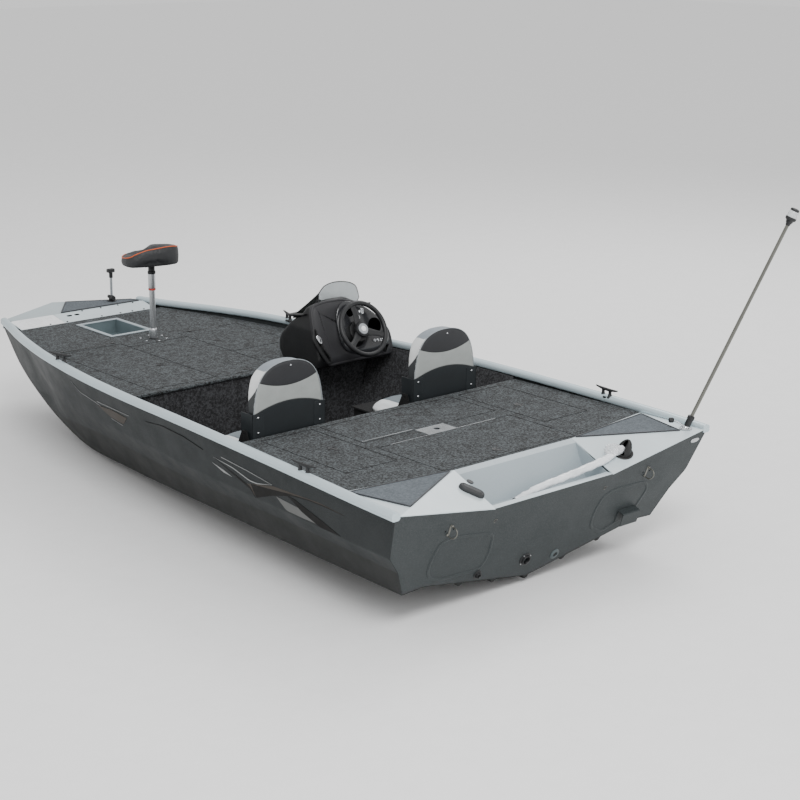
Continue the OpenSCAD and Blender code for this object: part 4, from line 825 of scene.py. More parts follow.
def backMaterial(name, centre, boxing):
    # crown, middle and lower panel are told apart by two curves, the band by straight borders
    m, t, p = newMaterial(name)
    place = nodeIn(t, "ShaderNodeTexCoord").outputs["Object"]
    axes = nodeIn(t, "ShaderNodeSeparateXYZ")
    feed(t, axes, i0=place)
    u = minus(t, axes.outputs[0], centre)
    v = minus(t, axes.outputs[2], backShape["floor"])
    square = times(t, u, u)
    crown = plus(t, times(t, square, panelCurve["crown"][1]), panelCurve["crown"][0])
    lower = plus(t, times(t, square, panelCurve["lower"][1]), panelCurve["lower"][0])
    grain = nodeIn(t, "ShaderNodeTexVoronoi", feature="SMOOTH_F1")
    feed(t, grain, Vector=place, Scale=460.0)
    soft = noiseNode(t, place, 16, 3, .6)
    if boxing:
        depth = minus(t, axes.outputs[1], backShape["aft"])
        border = minus(t, .243, times(t, mathNode(t, "POWER", mathNode(t, "MAXIMUM", depth, 0.0), .8), .82))
        upper = remap(t, minus(t, v, border), -.001, .001)
        top = remap(t, mathNode(t, "ABSOLUTE", u), .128, .131, 1, 0)
        color = mixColor(t, upper, grey(44, 47, 49), grey(214, 216, 216))
        color = mixColor(t, times(t, top, upper), color, grey(134, 142, 149))
        seam = mathNode(t, "ABSOLUTE", minus(t, v, border))
    else:
        inside = times(t, remap(t, minus(t, v, lower), -.0006, .0006), remap(t, minus(t, crown, v), -.0006, .0006))
        dark = mixColor(t, remap(t, minus(t, v, crown), -.001, .001), grey(27, 32, 35), grey(40, 41, 44))
        color = mixColor(t, inside, dark, grey(158, 162, 160))
        seam = mathNode(t, "MINIMUM", mathNode(t, "ABSOLUTE", minus(t, v, lower)),
            mathNode(t, "ABSOLUTE", minus(t, v, crown)))
    shade = shaded(t, color, remap(t, soft, .3, .7, .93, 1.06))
    groove = remap(t, seam, 0, .0035)
    height = plus(t, times(t, groove, 3.0), plus(t, times(t, grain.outputs[0], .5), soft))
    # painted shade: the colour is multiplied darker, towards grey 28, along the seam grooves
    seamShade = mixColor(t, groove, grey(28), (1, 1, 1, 1))
    tint = nodeIn(t, "ShaderNodeMix", data_type="RGBA", blend_type="MULTIPLY")
    feed(t, tint, i0=.55, i6=shade, i7=seamShade)
    feed(t, p, Roughness=remap(t, grain.outputs[0], 0, .6, .4, .56), Normal=bump(t, height, .35, .0012))
    t.links.new(tint.outputs[2], p.inputs["Base Color"])
    return m


def pipingShape(centre):
    # the cord along the rear panel's edge
    ring = np.vstack([backSide[1:], backSide[:0:-1] * [-1, 1]])
    path = np.stack([centre + ring[:, 0] * .985, np.full(len(ring), backShape["aft"] + .0016),
        backShape["floor"] + ring[:, 1] - .002], -1)
    return tubeShape(path, .0019, 8, (0, 1, 0))


seatShells = []
for side, (body, centre) in seatPlaces.items():
    shell = seatBackMesh("seatBack_" + side, centre, body, backMaterial("backPanel_" + side, centre, False),
        backMaterial("backBand_" + side, centre, True))
    seatShells.append(dressed(shell, body))
    fitted("backPiping_" + side, [pipingShape(centre)], "vinylPale", body, angle=35)
    plates, bolts = [], []
    for s in (-1, 1):
        x0, x1 = centre + s * .15, centre + s * .2185
        plates.append(blockShape((min(x0, x1), 1.2645, .374), (max(x0, x1), 1.2672, .508), .001))
        plates.append(blockShape((centre + s * .2168 - .0018, 1.2645, .374), (centre + s * .2168 + .0018, 1.352,
            .508), .001))
        for z in (.414, .488):
            bolts.append(turnedShape([(0, 0), (.0065, 0), (.006, .0022), (.0035, .0036), (0, .004)],
                (centre + s * .184, 1.2645, z), (0, -1, 0), 16))
    bolts.append(turnedShape([(0, 0), (.0055, 0), (.005, .002), (.003, .0032), (0, .0036)],
        (centre + .012, 1.2672, .711), (0, -1, 0), 16))
    fitted("backPlates_" + side, plates, "plateDark", body, angle=35)
    fitted("backBolts_" + side, bolts, "chrome", body, angle=35)
print("seat backs made")

lean = {"centre": (.008, 3.285), "low": .8085, "wide": .318, "deep": .222, "rear": .118, "front": .066,
    "turn": math.radians(-11), "crest": [(-.5, .58), (-.36, .78), (-.2, .91), (0, .97), (.2, 1.0), (.5, 1.03)]}
# the seat's outline from above, as shares of its width and depth
leanPlan = smoothPath([(-.5, -.2), (-.44, -.37), (-.25, -.47), (0, -.5), (.25, -.47), (.44, -.37), (.5, -.2),
    (.5, .08), (.42, .36), (.25, .48), (0, .5), (-.25, .48), (-.42, .36), (-.5, .08)] + [(-.5, -.2)], 5)[:-1]


def leanRing(inset, share):
    # the seat's plan drawn in by the inset, at a share of its height, which falls forward and to one side
    p = leanPlan * [lean["wide"], lean["deep"]]
    r = np.linalg.norm(p, axis=1)[:, None]
    p = p * (1 - inset / r)
    fall = leanPlan[:, 1] + .5
    top = (lean["rear"] + (lean["front"] - lean["rear"]) * fall) * np.interp(leanPlan[:, 0],
        *np.array(lean["crest"]).T)
    z = lean["low"] + top * share
    c, s = math.cos(lean["turn"]), math.sin(lean["turn"])
    return np.stack([lean["centre"][0] + p[:, 0] * c - p[:, 1] * s, lean["centre"][1] + p[:, 0] * s + p[:, 1] * c, z],
        -1)


# padded pieces: each closed shape is remeshed and blown up a little, every point held within its cap
def applyAll(ob):
    # the object's mesh becomes what its modifiers make of it
    mesh = bpy.data.meshes.new_from_object(ob.evaluated_get(bpy.context.evaluated_depsgraph_get()))
    ob.modifiers.clear()
    mesh.name = ob.name
    ob.data = mesh
    return mesh


def plainMesh(ob, voxel):
    grid = ob.modifiers.new("grid", "REMESH")
    grid.mode, grid.voxel_size = "VOXEL", voxel
    old = list(ob.data.materials)
    mesh = applyAll(ob)
    mesh.materials.clear()
    for m in old:
        mesh.materials.append(m)
    secondWhere(ob, lambda f: False)


def meshPoints(mesh):
    p = np.empty(len(mesh.vertices) * 3)
    mesh.vertices.foreach_get("co", p)
    return p.reshape(-1, 3)


def puffUp(pads, frames=20, pressure=4.0):
    # pads: list of object, voxel and a function that gives each point's cap from its place
    starts = []
    for ob, voxel, cap in pads:
        plainMesh(ob, voxel)
        starts.append(meshPoints(ob.data))
        cloth = ob.modifiers.new("cloth", "CLOTH")
        cloth.settings.use_pressure, cloth.settings.uniform_pressure_force = True, pressure
        cloth.settings.quality = 4
        cloth.settings.effector_weights.gravity = 0.0
        cloth.point_cache.frame_start, cloth.point_cache.frame_end = 1, frames
    scene = bpy.context.scene
    scene.frame_start, scene.frame_end = 1, frames
    for f in range(1, frames + 1):
        scene.frame_set(f)
    graph = bpy.context.evaluated_depsgraph_get()
    ends = [meshPoints(ob.evaluated_get(graph).data) for ob, voxel, cap in pads]
    for ob, voxel, cap in pads:
        ob.modifiers.clear()
    scene.frame_set(1)
    for (ob, voxel, cap), a, b in zip(pads, starts, ends):
        d = b - a
        far = np.linalg.norm(d, axis=1)
        limit = np.broadcast_to(cap(a), far.shape)
        p = a + d * (np.minimum(far, limit) / np.maximum(far, 1e-9))[:, None]
        ob.data.vertices.foreach_set("co", p.ravel())
        ob.data.update()
    for ob, voxel, cap in pads:
        more = ob.modifiers.new("more", "SUBSURF")
        more.levels = more.render_levels = 1
        turnOut(applyAll(ob))
        ob.data.shade_smooth()


def pushAlong(ob, depth):
    # moves each point along its normal by a depth given from its place
    mesh = ob.data
    p = meshPoints(mesh)
    n = np.empty(len(p) * 3)
    mesh.vertex_normals.foreach_get("vector", n)
    p += n.reshape(-1, 3) * depth(p)[:, None]
    mesh.vertices.foreach_set("co", p.ravel())
    mesh.update()


cushion = {"aft": 1.364, "fore": 1.64, "low": .269, "top": .318, "half": .221, "panel": .128}


def cushionRings(centre):
    # level rings that grow from the base, then close over the top; the fore edge and the ends roll down
    a = around(80)
    c, s = np.cos(a), np.sin(a)
    plan = np.stack([np.sign(c) * np.abs(c) ** .42, np.sign(s) * np.abs(s) ** .42], -1)
    midY, halfY = (cushion["aft"] + cushion["fore"]) / 2, (cushion["fore"] - cushion["aft"]) / 2
    rings = []
    for k, h in ((.9, 0), (.985, .08), (1.0, .3), (.985, .55), (.94, .78), (.86, .92), (.74, 1.0), (.5, 1.04),
        (.22, 1.05)):
        z = cushion["low"] + (cushion["top"] - cushion["low"]) * h
        z = z - (.012 * (plan[:, 0] * k) ** 2 * h) - .006 * h * np.clip(plan[:, 1] * k, 0, 1) ** 2
        rings.append(np.stack([centre + plan[:, 0] * k * cushion["half"], midY + plan[:, 1] * k * halfY, z], -1))
    return rings


cushions, pads = [], []
for side, (body, x) in seatPlaces.items():
    ob = loft("seatCushion_" + side, cushionRings(x), mats["vinylTop"], angle=60)
    ob.data.materials.append(mats["vinylWhite"])
    cushions.append((ob, x))
    pads.append((ob, .0075, lambda p: np.where(p[:, 2] < .2705, .0002, .01)))
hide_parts("seat_cushions")
leanSeat = loft("leanSeat", [leanRing(.018, 0), leanRing(.006, .02), leanRing(.001, .08), leanRing(-.002, .45),
    leanRing(0.0, .88), leanRing(.001, .925), leanRing(.003, .95), leanRing(.01, .97), leanRing(.024, .982),
    leanRing(.05, .986), leanRing(.085, .98)], mats["vinylLean"], "lean_seat", 60)
dressed(leanSeat, "bow_seat")
pads.append((leanSeat, .0055, lambda p: np.where(p[:, 2] < lean["low"] + .0015, .0002, .0045)))
for ob in seatShells:
    pads.append((ob, .0065, lambda p: np.where(p[:, 1] < backShape["aft"] + .01, .0006, .0065)))
puffUp(pads)
for ob, x in cushions:
    pushAlong(ob, lambda p: -.003 * np.exp(-((np.abs(p[:, 0] - x) - cushion["panel"]) / .0045) ** 2)
        * (p[:, 2] > .285))
    secondWhere(ob, lambda f: abs(f.center[0] - x) > cushion["panel"])
for ob in seatShells:
    secondWhere(ob, lambda f: abs(f.normal[1]) < .55 or f.center[1] > 1.3)
pipeLine = []
for q in leanRing(.001, .95):
    hit, place, normal, face = leanSeat.closest_point_on_mesh(q.tolist())
    pipeLine.append(np.array(place) + np.array(normal) * .0008)
fitted("leanPiping", [loopShape(np.array(pipeLine), .0026, 8)], "orange", "lean_seat", angle=35)
print("cushions made")

# console: a solid body cut out by three outlines, rounded off, with panels laid on its aft face
console = {"inner": .308, "outer": .842, "aft": 2.122, "deck": .368, "lean": math.radians(15.2), "foot": (2.116, .42),
    "voxel": .0065, "rounding": 9, "profile": [(2.122, .3685), (2.116, .42), (2.152, .583), (2.2, .73), (2.218, .734),
    (2.29, .64), (2.345, .612), (2.455, .512), (2.494, .452), (2.482, .42), (2.425, .3685)],
    "front": [(.308, .3685), (.308, .578), (.33, .69), (.382, .716), (.436, .727), (.556, .727), (.636, .69),
    (.738, .608), (.836, .508), (.836, .3685)], "plan": [(.308, 2.1), (.308, 2.43), (.318, 2.475), (.35, 2.515),
    (.42, 2.545), (.5, 2.56), (.842, 2.56), (.842, 2.1)]}


def prism(name, outline, place, depth):
    # an outline carried from one end of a depth to the other; place puts its two numbers and the depth in order
    p = np.array(outline)
    rings = np.array([[place(a, b, d) for a, b in p] for d in depth])
    return loft(name, rings, mats["console"], "hull", 30)


def consoleSolid(name, voxel, rounds):
    # the three prisms' common part, remeshed to even cells and relaxed so that its edges turn round
    body = prism(name, console["profile"], lambda a, b, d: (d, a, b), (.25, .9))
    tools = [prism("cutFront", console["front"], lambda a, b, d: (a, d, b), (2.0, 2.7)),
        prism("cutPlan", console["plan"], lambda a, b, d: (a, b, d), (.3, .8))]
    for tool in tools:
        cut = body.modifiers.new("cut", "BOOLEAN")
        cut.operation, cut.object, cut.solver = "INTERSECT", tool, "EXACT"
    grid = body.modifiers.new("grid", "REMESH")
    grid.mode, grid.voxel_size = "VOXEL", voxel
    soft = body.modifiers.new("soft", "SMOOTH")
    soft.factor, soft.iterations = .5, rounds
    applyAll(body).shade_smooth()
    for tool in tools:
        bpy.data.objects.remove(tool)
    return body


consoleBody = consoleSolid("consoleBody", console["voxel"], console["rounding"])
dressed(consoleBody, "console")
# the shelf under the windscreen, a thin slab that falls forward
lipPlan = [(.3, 2.24), (.298, 2.34), (.302, 2.385), (.325, 2.405), (.42, 2.42), (.56, 2.42), (.7, 2.41), (.78, 2.36),
    (.78, 2.24)]
lipRings = []
for lift, inset in ((-.003, .002), (-.001, 0), (.003, 0), (.005, .002)):
    lipRings.append([(x + (inset if x < .5 else -inset), y - (inset if y > 2.3 else 0),
        .6525 - (y - 2.24) * .17 + lift) for x, y in lipPlan])
consoleLip = loft("consoleLip", lipRings, mats["console"], angle=40)


def onFace(x, z, lift=0.0):
    # a point of the leaning aft face, lifted towards the driver
    x, z = np.broadcast_arrays(np.asarray(x, float), np.asarray(z, float))
    y = console["foot"][0] + (z - console["foot"][1]) * math.tan(console["lean"])
    return np.stack([x, y, z], -1) + lift * np.array([0, -math.cos(console["lean"]), math.sin(console["lean"])])


def insetLine(line, d):
    # a closed line moved inwards by d along its corner normals
    return line - cornerNormals(line) * d


dashOut = np.array([0, -math.cos(console["lean"]), math.sin(console["lean"])])
dashUp = np.array([0, math.sin(console["lean"]), math.cos(console["lean"])])


def platePart(outline, levels):
    # rings of one closed outline, each moved in by a distance and lifted off the face, closed at both ends
    return ringShape([onFace(*insetLine(outline, d).T, lift) for d, lift in levels])


def circleLine(x, z, r, count=40, squash=1.0, turn=0.0):
    a = around(count)
    u, v = np.cos(a) * r, np.sin(a) * r * squash
    return np.stack([x + u * math.cos(turn) - v * math.sin(turn), z + u * math.sin(turn) + v * math.cos(turn)], -1)


fascia = easedLoop([(.372, .384), (.33, .44), (.302, .52), (.3, .6), (.306, .668), (.322, .702), (.352, .717),
    (.42, .724), (.5, .723), (.56, .714), (.63, .684), (.7, .64), (.77, .585), (.822, .52), (.834, .46), (.826, .4),
    (.8, .384), (.6, .383), (.45, .382)], 5)
fitted("consoleFace", [platePart(fascia, [(0, -.012), (0, .006), (.002, .0085), (.01, .009), (.012, .0065),
    (.0135, .0065), (.0155, .0085), (.05, .0087)])], "dash", angle=50)
strip = easedLoop([(.3, .59), (.292, .56), (.288, .52), (.318, .455), (.352, .402), (.372, .392), (.392, .404),
    (.372, .45), (.34, .505), (.326, .55), (.318, .585)], 5)
fitted("consoleStrip", [platePart(strip, [(0, .004), (0, .0125), (.002, .014), (.009, .014), (.0105, .012),
    (.02, .012)])], "console", angle=50)
panel = easedLoop([(.47, .64), (.462, .56), (.48, .47), (.54, .425), (.64, .412), (.74, .42), (.8, .455), (.806, .52),
    (.76, .585), (.69, .645), (.6, .69), (.52, .7)], 5)
fitted("instrumentPanel", [platePart(panel, [(0, .008), (0, .0155), (.003, .018), (.03, .0185)])], "gloss",
    angle=50)
fitted("gaugeGlass", [platePart(circleLine(.716, .548, .043), [(0, .016), (0, .024), (.003, .0262), (.006, .0262),
    (.0075, .023), (.036, .0235)]), platePart(circleLine(.56, .64, .022), [(0, .016), (0, .022), (.002, .024),
    (.004, .024), (.005, .0215), (.018, .0215)])], "matte", angle=50)


def toggle(x, z, lean):
    # a bezel, a collar and a lever that leans up or down
    base = onFace(x, z, .017)
    bezel = turnedShape([(0, 0), (.0085, 0), (.0085, .002), (.0062, .0035), (.0062, .007), (0, .007)], base, dashOut,
        20)
    tip = base + dashOut * .02 + dashUp * lean
    lever = tubeShape([base + dashOut * .006, base + dashOut * .012 + dashUp * lean * .4, tip, tip + dashOut * .002],
        [.0022, .0024, .0034, .0012], 12, (1, 0, 0))
    return [bezel, lever]


bits = []
for x, z, way in ((.7, .47, .004), (.722, .468, -.004), (.744, .466, .004), (.766, .468, -.004)):
    bits += toggle(x, z, way)
bits.append(turnedShape([(0, 0), (.017, 0), (.017, .004), (.012, .006), (.011, .01), (.004, .011), (0, .011)],
    onFace(.64, .636, .017), dashOut, 28))
bits.append(turnedShape([(0, 0), (.012, 0), (.012, .004), (.008, .006), (0, .007)], onFace(.612, .606, .017), dashOut,
    28))
bits.append(blockShape(onFace(.64, .636, .027) - [.0018, .008, .004], onFace(.64, .636, .027) + [.0018, .001, .016],
    .0008))
fitted("dashControls", bits, "chrome")
oval = circleLine(.325, .528, .027, 40, .52, math.radians(-62))
fitted("stripPlate", [platePart(oval, [(0, .012), (0, .0155), (.002, .0172), (.006, .0172), (.0075, .015),
    (.011, .0155)])], "chrome", angle=50)
rockers = [platePart(circleLine(.35 + .011 * k, .47 - .017 * k, .013, 24, .45, math.radians(-62)),
    [(0, .012), (0, .019), (.0015, .0205), (.004, .0205)]) for k in range(3)]
fitted("stripSwitches", rockers, "black", angle=50)
print("console made")

# steering cone and wheel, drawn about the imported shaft
wheel = {"centre": np.array([.578, 2.062, .569]), "tilt": math.radians(28), "across": .1475, "rim": .0135}
wheelOut = np.array([0, -math.cos(wheel["tilt"]), math.sin(wheel["tilt"])])
wheelUp = np.array([0, math.sin(wheel["tilt"]), math.cos(wheel["tilt"])])


def onWheel(u, v, w=0.0):
    return inFrame(wheel["centre"], np.array([1.0, 0, 0]), wheelUp, wheelOut, u, v, w)


cone = turnedShape([(0, -.128), (.086, -.128), (.0865, -.112), (.083, -.104), (.079, -.102), (.074, -.08),
    (.062, -.062), (.058, -.056), (.057, -.046), (.05, -.044), (0, -.044)], wheel["centre"], wheelOut, 56)
fitted("steeringCone", [cone], "console", angle=30, stands="dash_panel")
a = around(120)
rim = loopShape(onWheel(np.cos(a) * wheel["across"], np.sin(a) * wheel["across"], 0), wheel["rim"], 18,
    tuple(wheelOut))
spokes = []
for turn in (100, 218, 338):
    t = math.radians(turn)
    c, s = math.cos(t), math.sin(t)
    r = np.linspace(.018, .139, 9)
    half = np.interp(r, [.018, .05, .1, .139], [.026, .021, .015, .02])
    depth = np.interp(r, [.018, .139], [-.022, -.001])
    rings = []
    for q, h, w in zip(r, half, depth):
        side = np.array([-1, -.6, .6, 1, 1, .6, -.6, -1]) * h
        lift = w + np.array([0.0, .0045, .0045, 0.0, -.003, -.006, -.006, -.003])
        rings.append(onWheel(c * q - s * side, s * q + c * side, lift))
    spokes.append(ringShape(rings))
hub = turnedShape([(0, -.0425), (.02, -.0425), (.026, -.041), (.04, -.03), (.043, -.022), (.043, -.01), (.039, -.004),
    (0, -.004)], wheel["centre"], wheelOut, 40)
fitted("steeringWheel", [rim] + spokes + [hub], "grip", "steering_wheel", angle=45, stands="steering_wheel")
hubRing = turnedShape([(0, -.0045), (.031, -.0045), (.031, .0005), (.029, .0025), (.0175, .003), (.0165, .0018),
    (0, .0018)], wheel["centre"], wheelOut, 40)
fitted("wheelHubRing", [hubRing], "satin", "steering_wheel")
hubCap = turnedShape([(0, .0015), (.0155, .0015), (.0155, .0035), (.013, .0048), (.006, .0058), (0, .006)],
    wheel["centre"], wheelOut, 32)
fitted("wheelHubCap", [hubCap], "white", "steering_wheel")

# windscreen: a sheet bent in plan, its upper edge given across the boat, dark on its port wing
screen = {"line": [(.03, .252), (.036, .24), (.06, .172), (.088, .104), (.15, .128), (.225, .15), (.3, .146),
    (.38, .118)], "bend": 3, "edge": [(.03, .253), (.037, .268), (.06, .33), (.09, .399), (.118, .424), (.16, .433),
    (.24, .435), (.3, .428), (.348, .414), (.374, .386)], "thick": .0042, "dropFrom": .352, "dropOver": .028,
    "drop": .06, "tuckFrom": .24, "tuckOver": .14, "tuck": .04, "rake": .1}


def consoleTop(x, y):
    # the lower of the nose's slope and the hood's shoulder
    a = np.interp(y, [.03, .078, .096, .168, .278, .378], [.215, .362, .372, .272, .244, .187])
    b = np.interp(x, [0, .022, .074, .128, .232, .318, .43, .528], [.21, .33, .359, .371, .371, .33, .24, .14])
    return np.minimum(a, b)


plan = np.vstack([resample(smoothPath(screen["line"][:4], 8), 22)[:-1],
    resample(smoothPath(screen["line"][screen["bend"]:], 8), 34)])
# the sheet dips into the console's top, and its upper edge is evened out over seven points
foot = consoleTop(plan[:, 0], plan[:, 1]) - .012
head = np.interp(plan[:, 0], *np.array(screen["edge"]).T)
head = np.maximum(np.convolve(np.pad(head, 3, mode="edge"), np.ones(7) / 7, mode="valid"), foot + .006)
head = head - np.clip((plan[:, 0] - screen["dropFrom"]) / screen["dropOver"], 0, 1) ** 2 * screen["drop"]
t = np.linspace(0, 1, 14)
z = foot[:, None] + (np.maximum(head, foot + .006) - foot)[:, None] * t
tuck = np.clip((plan[:, 0] - screen["tuckFrom"]) / screen["tuckOver"], 0, 1)[:, None] ** 2 * (1 - t) * screen["tuck"]
tangent = np.gradient(plan, axis=0)
normal = unit(np.stack([tangent[:, 1], -tangent[:, 0]], -1))


def screenSheet(offset):
    x = console["inner"] + plan[:, :1] + normal[:, :1] * offset - tuck
    y = console["aft"] + plan[:, 1:] + normal[:, 1:] * offset - (z - foot[:, None]) * screen["rake"]
    return np.stack([x, y, console["deck"] + z], -1)


both = np.stack([screenSheet(-screen["thick"] / 2), screenSheet(screen["thick"] / 2)])
glass = makePiece("windscreenSheet", both.reshape(-1, 3), shellFaces(*z.shape), mats["screen"], "hull", 30)
glass.data.materials.append(mats["screenDark"])
secondWhere(glass, lambda f: f.center[0] < console["inner"] + .088)
dressed(glass, "windscreen")
middle = screenSheet(0)
edgeLine = np.vstack([middle[0], middle[1:, -1], middle[-1, ::-1][1:]])
fitted("windscreenEdge", [tubeShape(edgeLine[2:-2], .0029, 8, (.31, .2, .93))], "black", angle=60)
fitted("windscreenFoot", [tubeShape(middle[:, 0] + [0, 0, .011], .006, 8, (0, 0, 1))], "black", angle=60)
print("wheel and windscreen made")

# stern: the wrapped hose, its boot, the caps, the fittings on the transom and the stern light
hosePath = smoothPath(hose["route"], 4)
hoseFaces = ringFaces(4 * len(hosePath) - 3, 20)
fine = smoothPath(hosePath, 4)
along = np.linspace(0, 1, len(fine))
# the film creases in three waves along the hose and two round it
wrinkle = 1 + .045 * np.sin(along * 71) + .03 * np.sin(along * 173 + 1.3) + .02 * np.sin(along * 317)
wrinkle *= np.interp(along, [0, .05, .6, .95, 1], [.98, 1.0, 1.0, .97, .9])
along3 = unit(np.gradient(fine, axis=0))
across3 = unit(np.cross(along3, [0, 0, 1.0]))
over3 = np.cross(across3, along3)
turn = around(20)
crease = 1 + .05 * np.sin(3 * turn[None] + along[:, None] * 60) + .035 * np.sin(5 * turn[None] - along[:, None] * 95)
reach = hose["radius"] * .93 * wrinkle[:, None] * crease
hoseSkin = fine[:, None] + reach[..., None] * swept(turn, across3, over3)
wrappedHose = makePiece("wrappedHose", hoseSkin, hoseFaces, mats["wrap"], angle=60)
dressed(wrappedHose, "rigging_hose")
tail = fine[-1]
tailWay = along3[-1]
hoseEnd = fitted("hoseEndFitting", [turnedShape([(0, -.006), (.015, -.006), (.0165, 0), (.0165, .01), (.014, .012),
    (.014, .02), (.0125, .022), (0, .022)], tail, tailWay, 28)], "black", angle=35)


def crumple(name, centre, size, seed, mat):
    # a closed ball of film: radius times a sum of creased waves in random directions
    rng = np.random.RandomState(seed)
    u, v = np.meshgrid(around(56), np.linspace(.06, math.pi - .06, 30))
    d = np.stack([np.sin(v) * np.cos(u), np.sin(v) * np.sin(u), np.cos(v)], -1)
    r = np.ones_like(u)
    for k in range(9):
        w = rng.normal(size=3)
        r += (.26 / (1 + .45 * k)) * (np.abs(np.sin((d @ w) * (1.6 + k * .9) + rng.uniform(0, 6))) - .5)
    p = np.asarray(centre) + d * r[..., None] * np.asarray(size)
    return loft(name, p[::-1], mat, angle=24)


bag = crumple("looseFilm", (.448, .118, .372), (.04, .026, .024), 4, mats["film"])
cuff = fitted("hoseCuff", [tubeShape(fine[7:17],
    np.array([.0205, .0225, .0228, .0215, .0226, .023, .0216, .0222, .0226, .02]), 20)], "film", angle=50)

facetUp = np.array([-.19694, -.36892, .90836])


def onFacet(x, y, lift=0.0, side=1):
    # a point of the sloping corner facet, lifted square to it
    x, y = np.broadcast_arrays(np.asarray(x, float), np.asarray(y, float))
    z = .318 - ((side * x - .376) * facetUp[0] + (y - .106) * facetUp[1]) / facetUp[2]
    return np.stack([x, y, z], -1) + lift * facetUp * [side, 1, 1]


bootAt = onFacet(.515, .108)
bootU = unit(np.cross([0, 1.0, 0], facetUp))
bootV = np.cross(facetUp, bootU)


def onBoot(u, v, w):
    return inFrame(bootAt, bootU, bootV, facetUp, u, v, w)


flange = (turnedShape([(.0315, .0006), (.048, .0006), (.0485, .003), (.046, .0058), (.042, .0066), (.039, .005),
    (.0372, .0105), (.033, .0115), (.0315, .008)], bootAt, facetUp, 56)[0], torusFaces(9, 56))
hoodRings = []
for share in np.linspace(0, 1, 15):
    # the hood's shell: an arch round the back and both sides, its mouth towards port and aft
    turnAt = math.radians(-116 + 232 * share) - math.radians(20)
    high = .07 * (math.sin(math.pi * (.08 + .84 * share)) ** .55)
    w = np.linspace(0, 1, 9)
    outR = .0368 * (1 - .62 * w ** 2.4)
    inR = outR - .0032
    lift = .006 + high * np.sin(w * math.pi / 2)
    ring = np.concatenate([onBoot(np.cos(turnAt) * outR, np.sin(turnAt) * outR, lift),
        onBoot(np.cos(turnAt) * inR, np.sin(turnAt) * inR, lift - .002)[::-1]])
    hoodRings.append(ring)
hood = ringShape(hoodRings)
# near-black disc down in the boot's flange: painted shade of its opening
well = turnedShape([(0, .0004), (.032, .0004), (.032, .0012), (0, .0012)], bootAt, facetUp, 40)
fitted("riggingBoot", [flange, hood], "rubber", stands="rigging_boot")
fitted("bootHoleShade", [well], "holeShadeBlack")

capA, capB, capR = np.array([-.437, .1745]), np.array([-.396, .1355]), .0265
capWay = unit(capB - capA)


def capLine(inset):
    # two half circles joined by straight sides
    side = np.array([-capWay[1], capWay[0]])
    half = [(capR - inset) * (np.cos(q) * capWay + np.sin(q) * side) for q in np.linspace(-math.pi / 2, math.pi / 2,
        13)]
    return np.array([capB + p for p in half] + [capA - p for p in half])


capRings = [onFacet(*capLine(d).T, lift, -1) for d, lift in ((0, .0005), (-.001, .004), (.001, .015), (.005, .0185),
    (.0085, .0187), (.0098, .0172), (.0115, .0172), (.0128, .0188), (.02, .0192))]
loft("wellCap", capRings, mats["blackSoft"], angle=50)
grommetAt = onFacet(-.358, .224, 0, -1)
fitted("wellGrommet", [turnedShape([(.009, .0005), (.0165, .0005), (.017, .003), (.014, .0045), (.01, .004)],
    grommetAt, facetUp * [-1, 1, 1], 32), turnedShape([(0, .0006), (.0095, .0006), (.0095, .0016), (0, .0016)],
    grommetAt, facetUp * [-1, 1, 1], 32)], "black")

print("hose and boot made")

# transom fittings: eyes, flanges with their bores, and the folded bracket
def boltEye(x, z):
    # a bent rod standing out of the transom, its two legs side by side, on an oval foot
    a = np.linspace(0, math.pi, 13)
    legs = [(-.023, -.012), (-.023, .006), (-.023, .02)] + [(-.023 * math.cos(q), .022 + .023 * math.sin(q))
        for q in a[1:-1]] + [(.023, .02), (.023, .006), (.023, -.012)]
    path = [onTransom(x + u * .35, z, w) + faceUp * u * .94 for u, w in legs]
    foot = slabShape(roundedBox(.013, .062, .0062, 6), .0022, onTransom(x, z), (.93, 0, 0), faceUp)
    nuts = [turnedShape([(0, .002), (.0062, .002), (.0062, .006), (.005, .0075), (0, .0075)],
        onTransom(x + u * .35, z) + faceUp * u * .94, faceOut, 6) for u in (-.023, .023)]
    return [tubeShape(path, .003, 12, (1, .02, 0)), foot] + nuts


eyes = []
for x in (-.63, .63):
    eyes += boltEye(x, .246)
fitted("sternEyes", eyes, "poleMetal")


def outletRing(x, z, bore, out, wide):
    # flange, raised lip and the bore's wall, as one closed profile turned round the bore
    r = bore / 2
    prof = [(r, 0.0), (r + wide, 0.0), (r + wide, .0022), (r + wide * .8, .004), (r + wide * .45, .0046),
        (r + wide * .38, out), (r + .0015, out + .001), (r, out - .001)]
    return turnedShape(prof, onTransom(x, z), faceOut, 44)[0], torusFaces(len(prof), 44)


fitted("outletFlanges", [outletRing(-.047, -.062, .038, .012, .016), outletRing(-.349, -.06, .02, .014, .013)],
    "black")
screws = [turnedShape([(0, .003), (.0032, .003), (.0028, .0052), (0, .0058)], onTransom(-.047 + .031 * math.cos(q),
    -.062) + faceUp * .031 * math.sin(q), faceOut, 12) for q in (.6, 2.2, 3.8, 5.4)]
fitted("outletScrews", screws, "bright")
fitted("drainRing", [outletRing(.156, -.088, .026, .006, .014)], "transomLight")
fitted("drainPlug", [turnedShape([(0, -.02), (.0126, -.02), (.0126, .001), (.011, .003), (.006, .003), (.005, .0015),
    (0, .0015)], onTransom(.156, -.088), faceOut, 32)], "black")
shelf = {"from": .526, "to": .644, "top": .052, "out": .038, "lip": .06}
top, out = shelf["top"], shelf["out"]
lines = [(-.0002, top + .003), (out - .004, top + .003), (out, top - .001), (out + .003, top - shelf["lip"]),
    (out - .0005, top - shelf["lip"]), (out - .0035, top - .001), (out - .006, top), (.003, top), (.003, top - .058),
    (-.0002, top - .058)]
bracket = loft("transomBracket", [[onTransom(x, z, w) for w, z in lines] for x in (shelf["from"],
    shelf["from"] + .001, shelf["to"] - .001, shelf["to"])], mats["transom"], angle=30)
dressed(bracket, "transom_fittings")

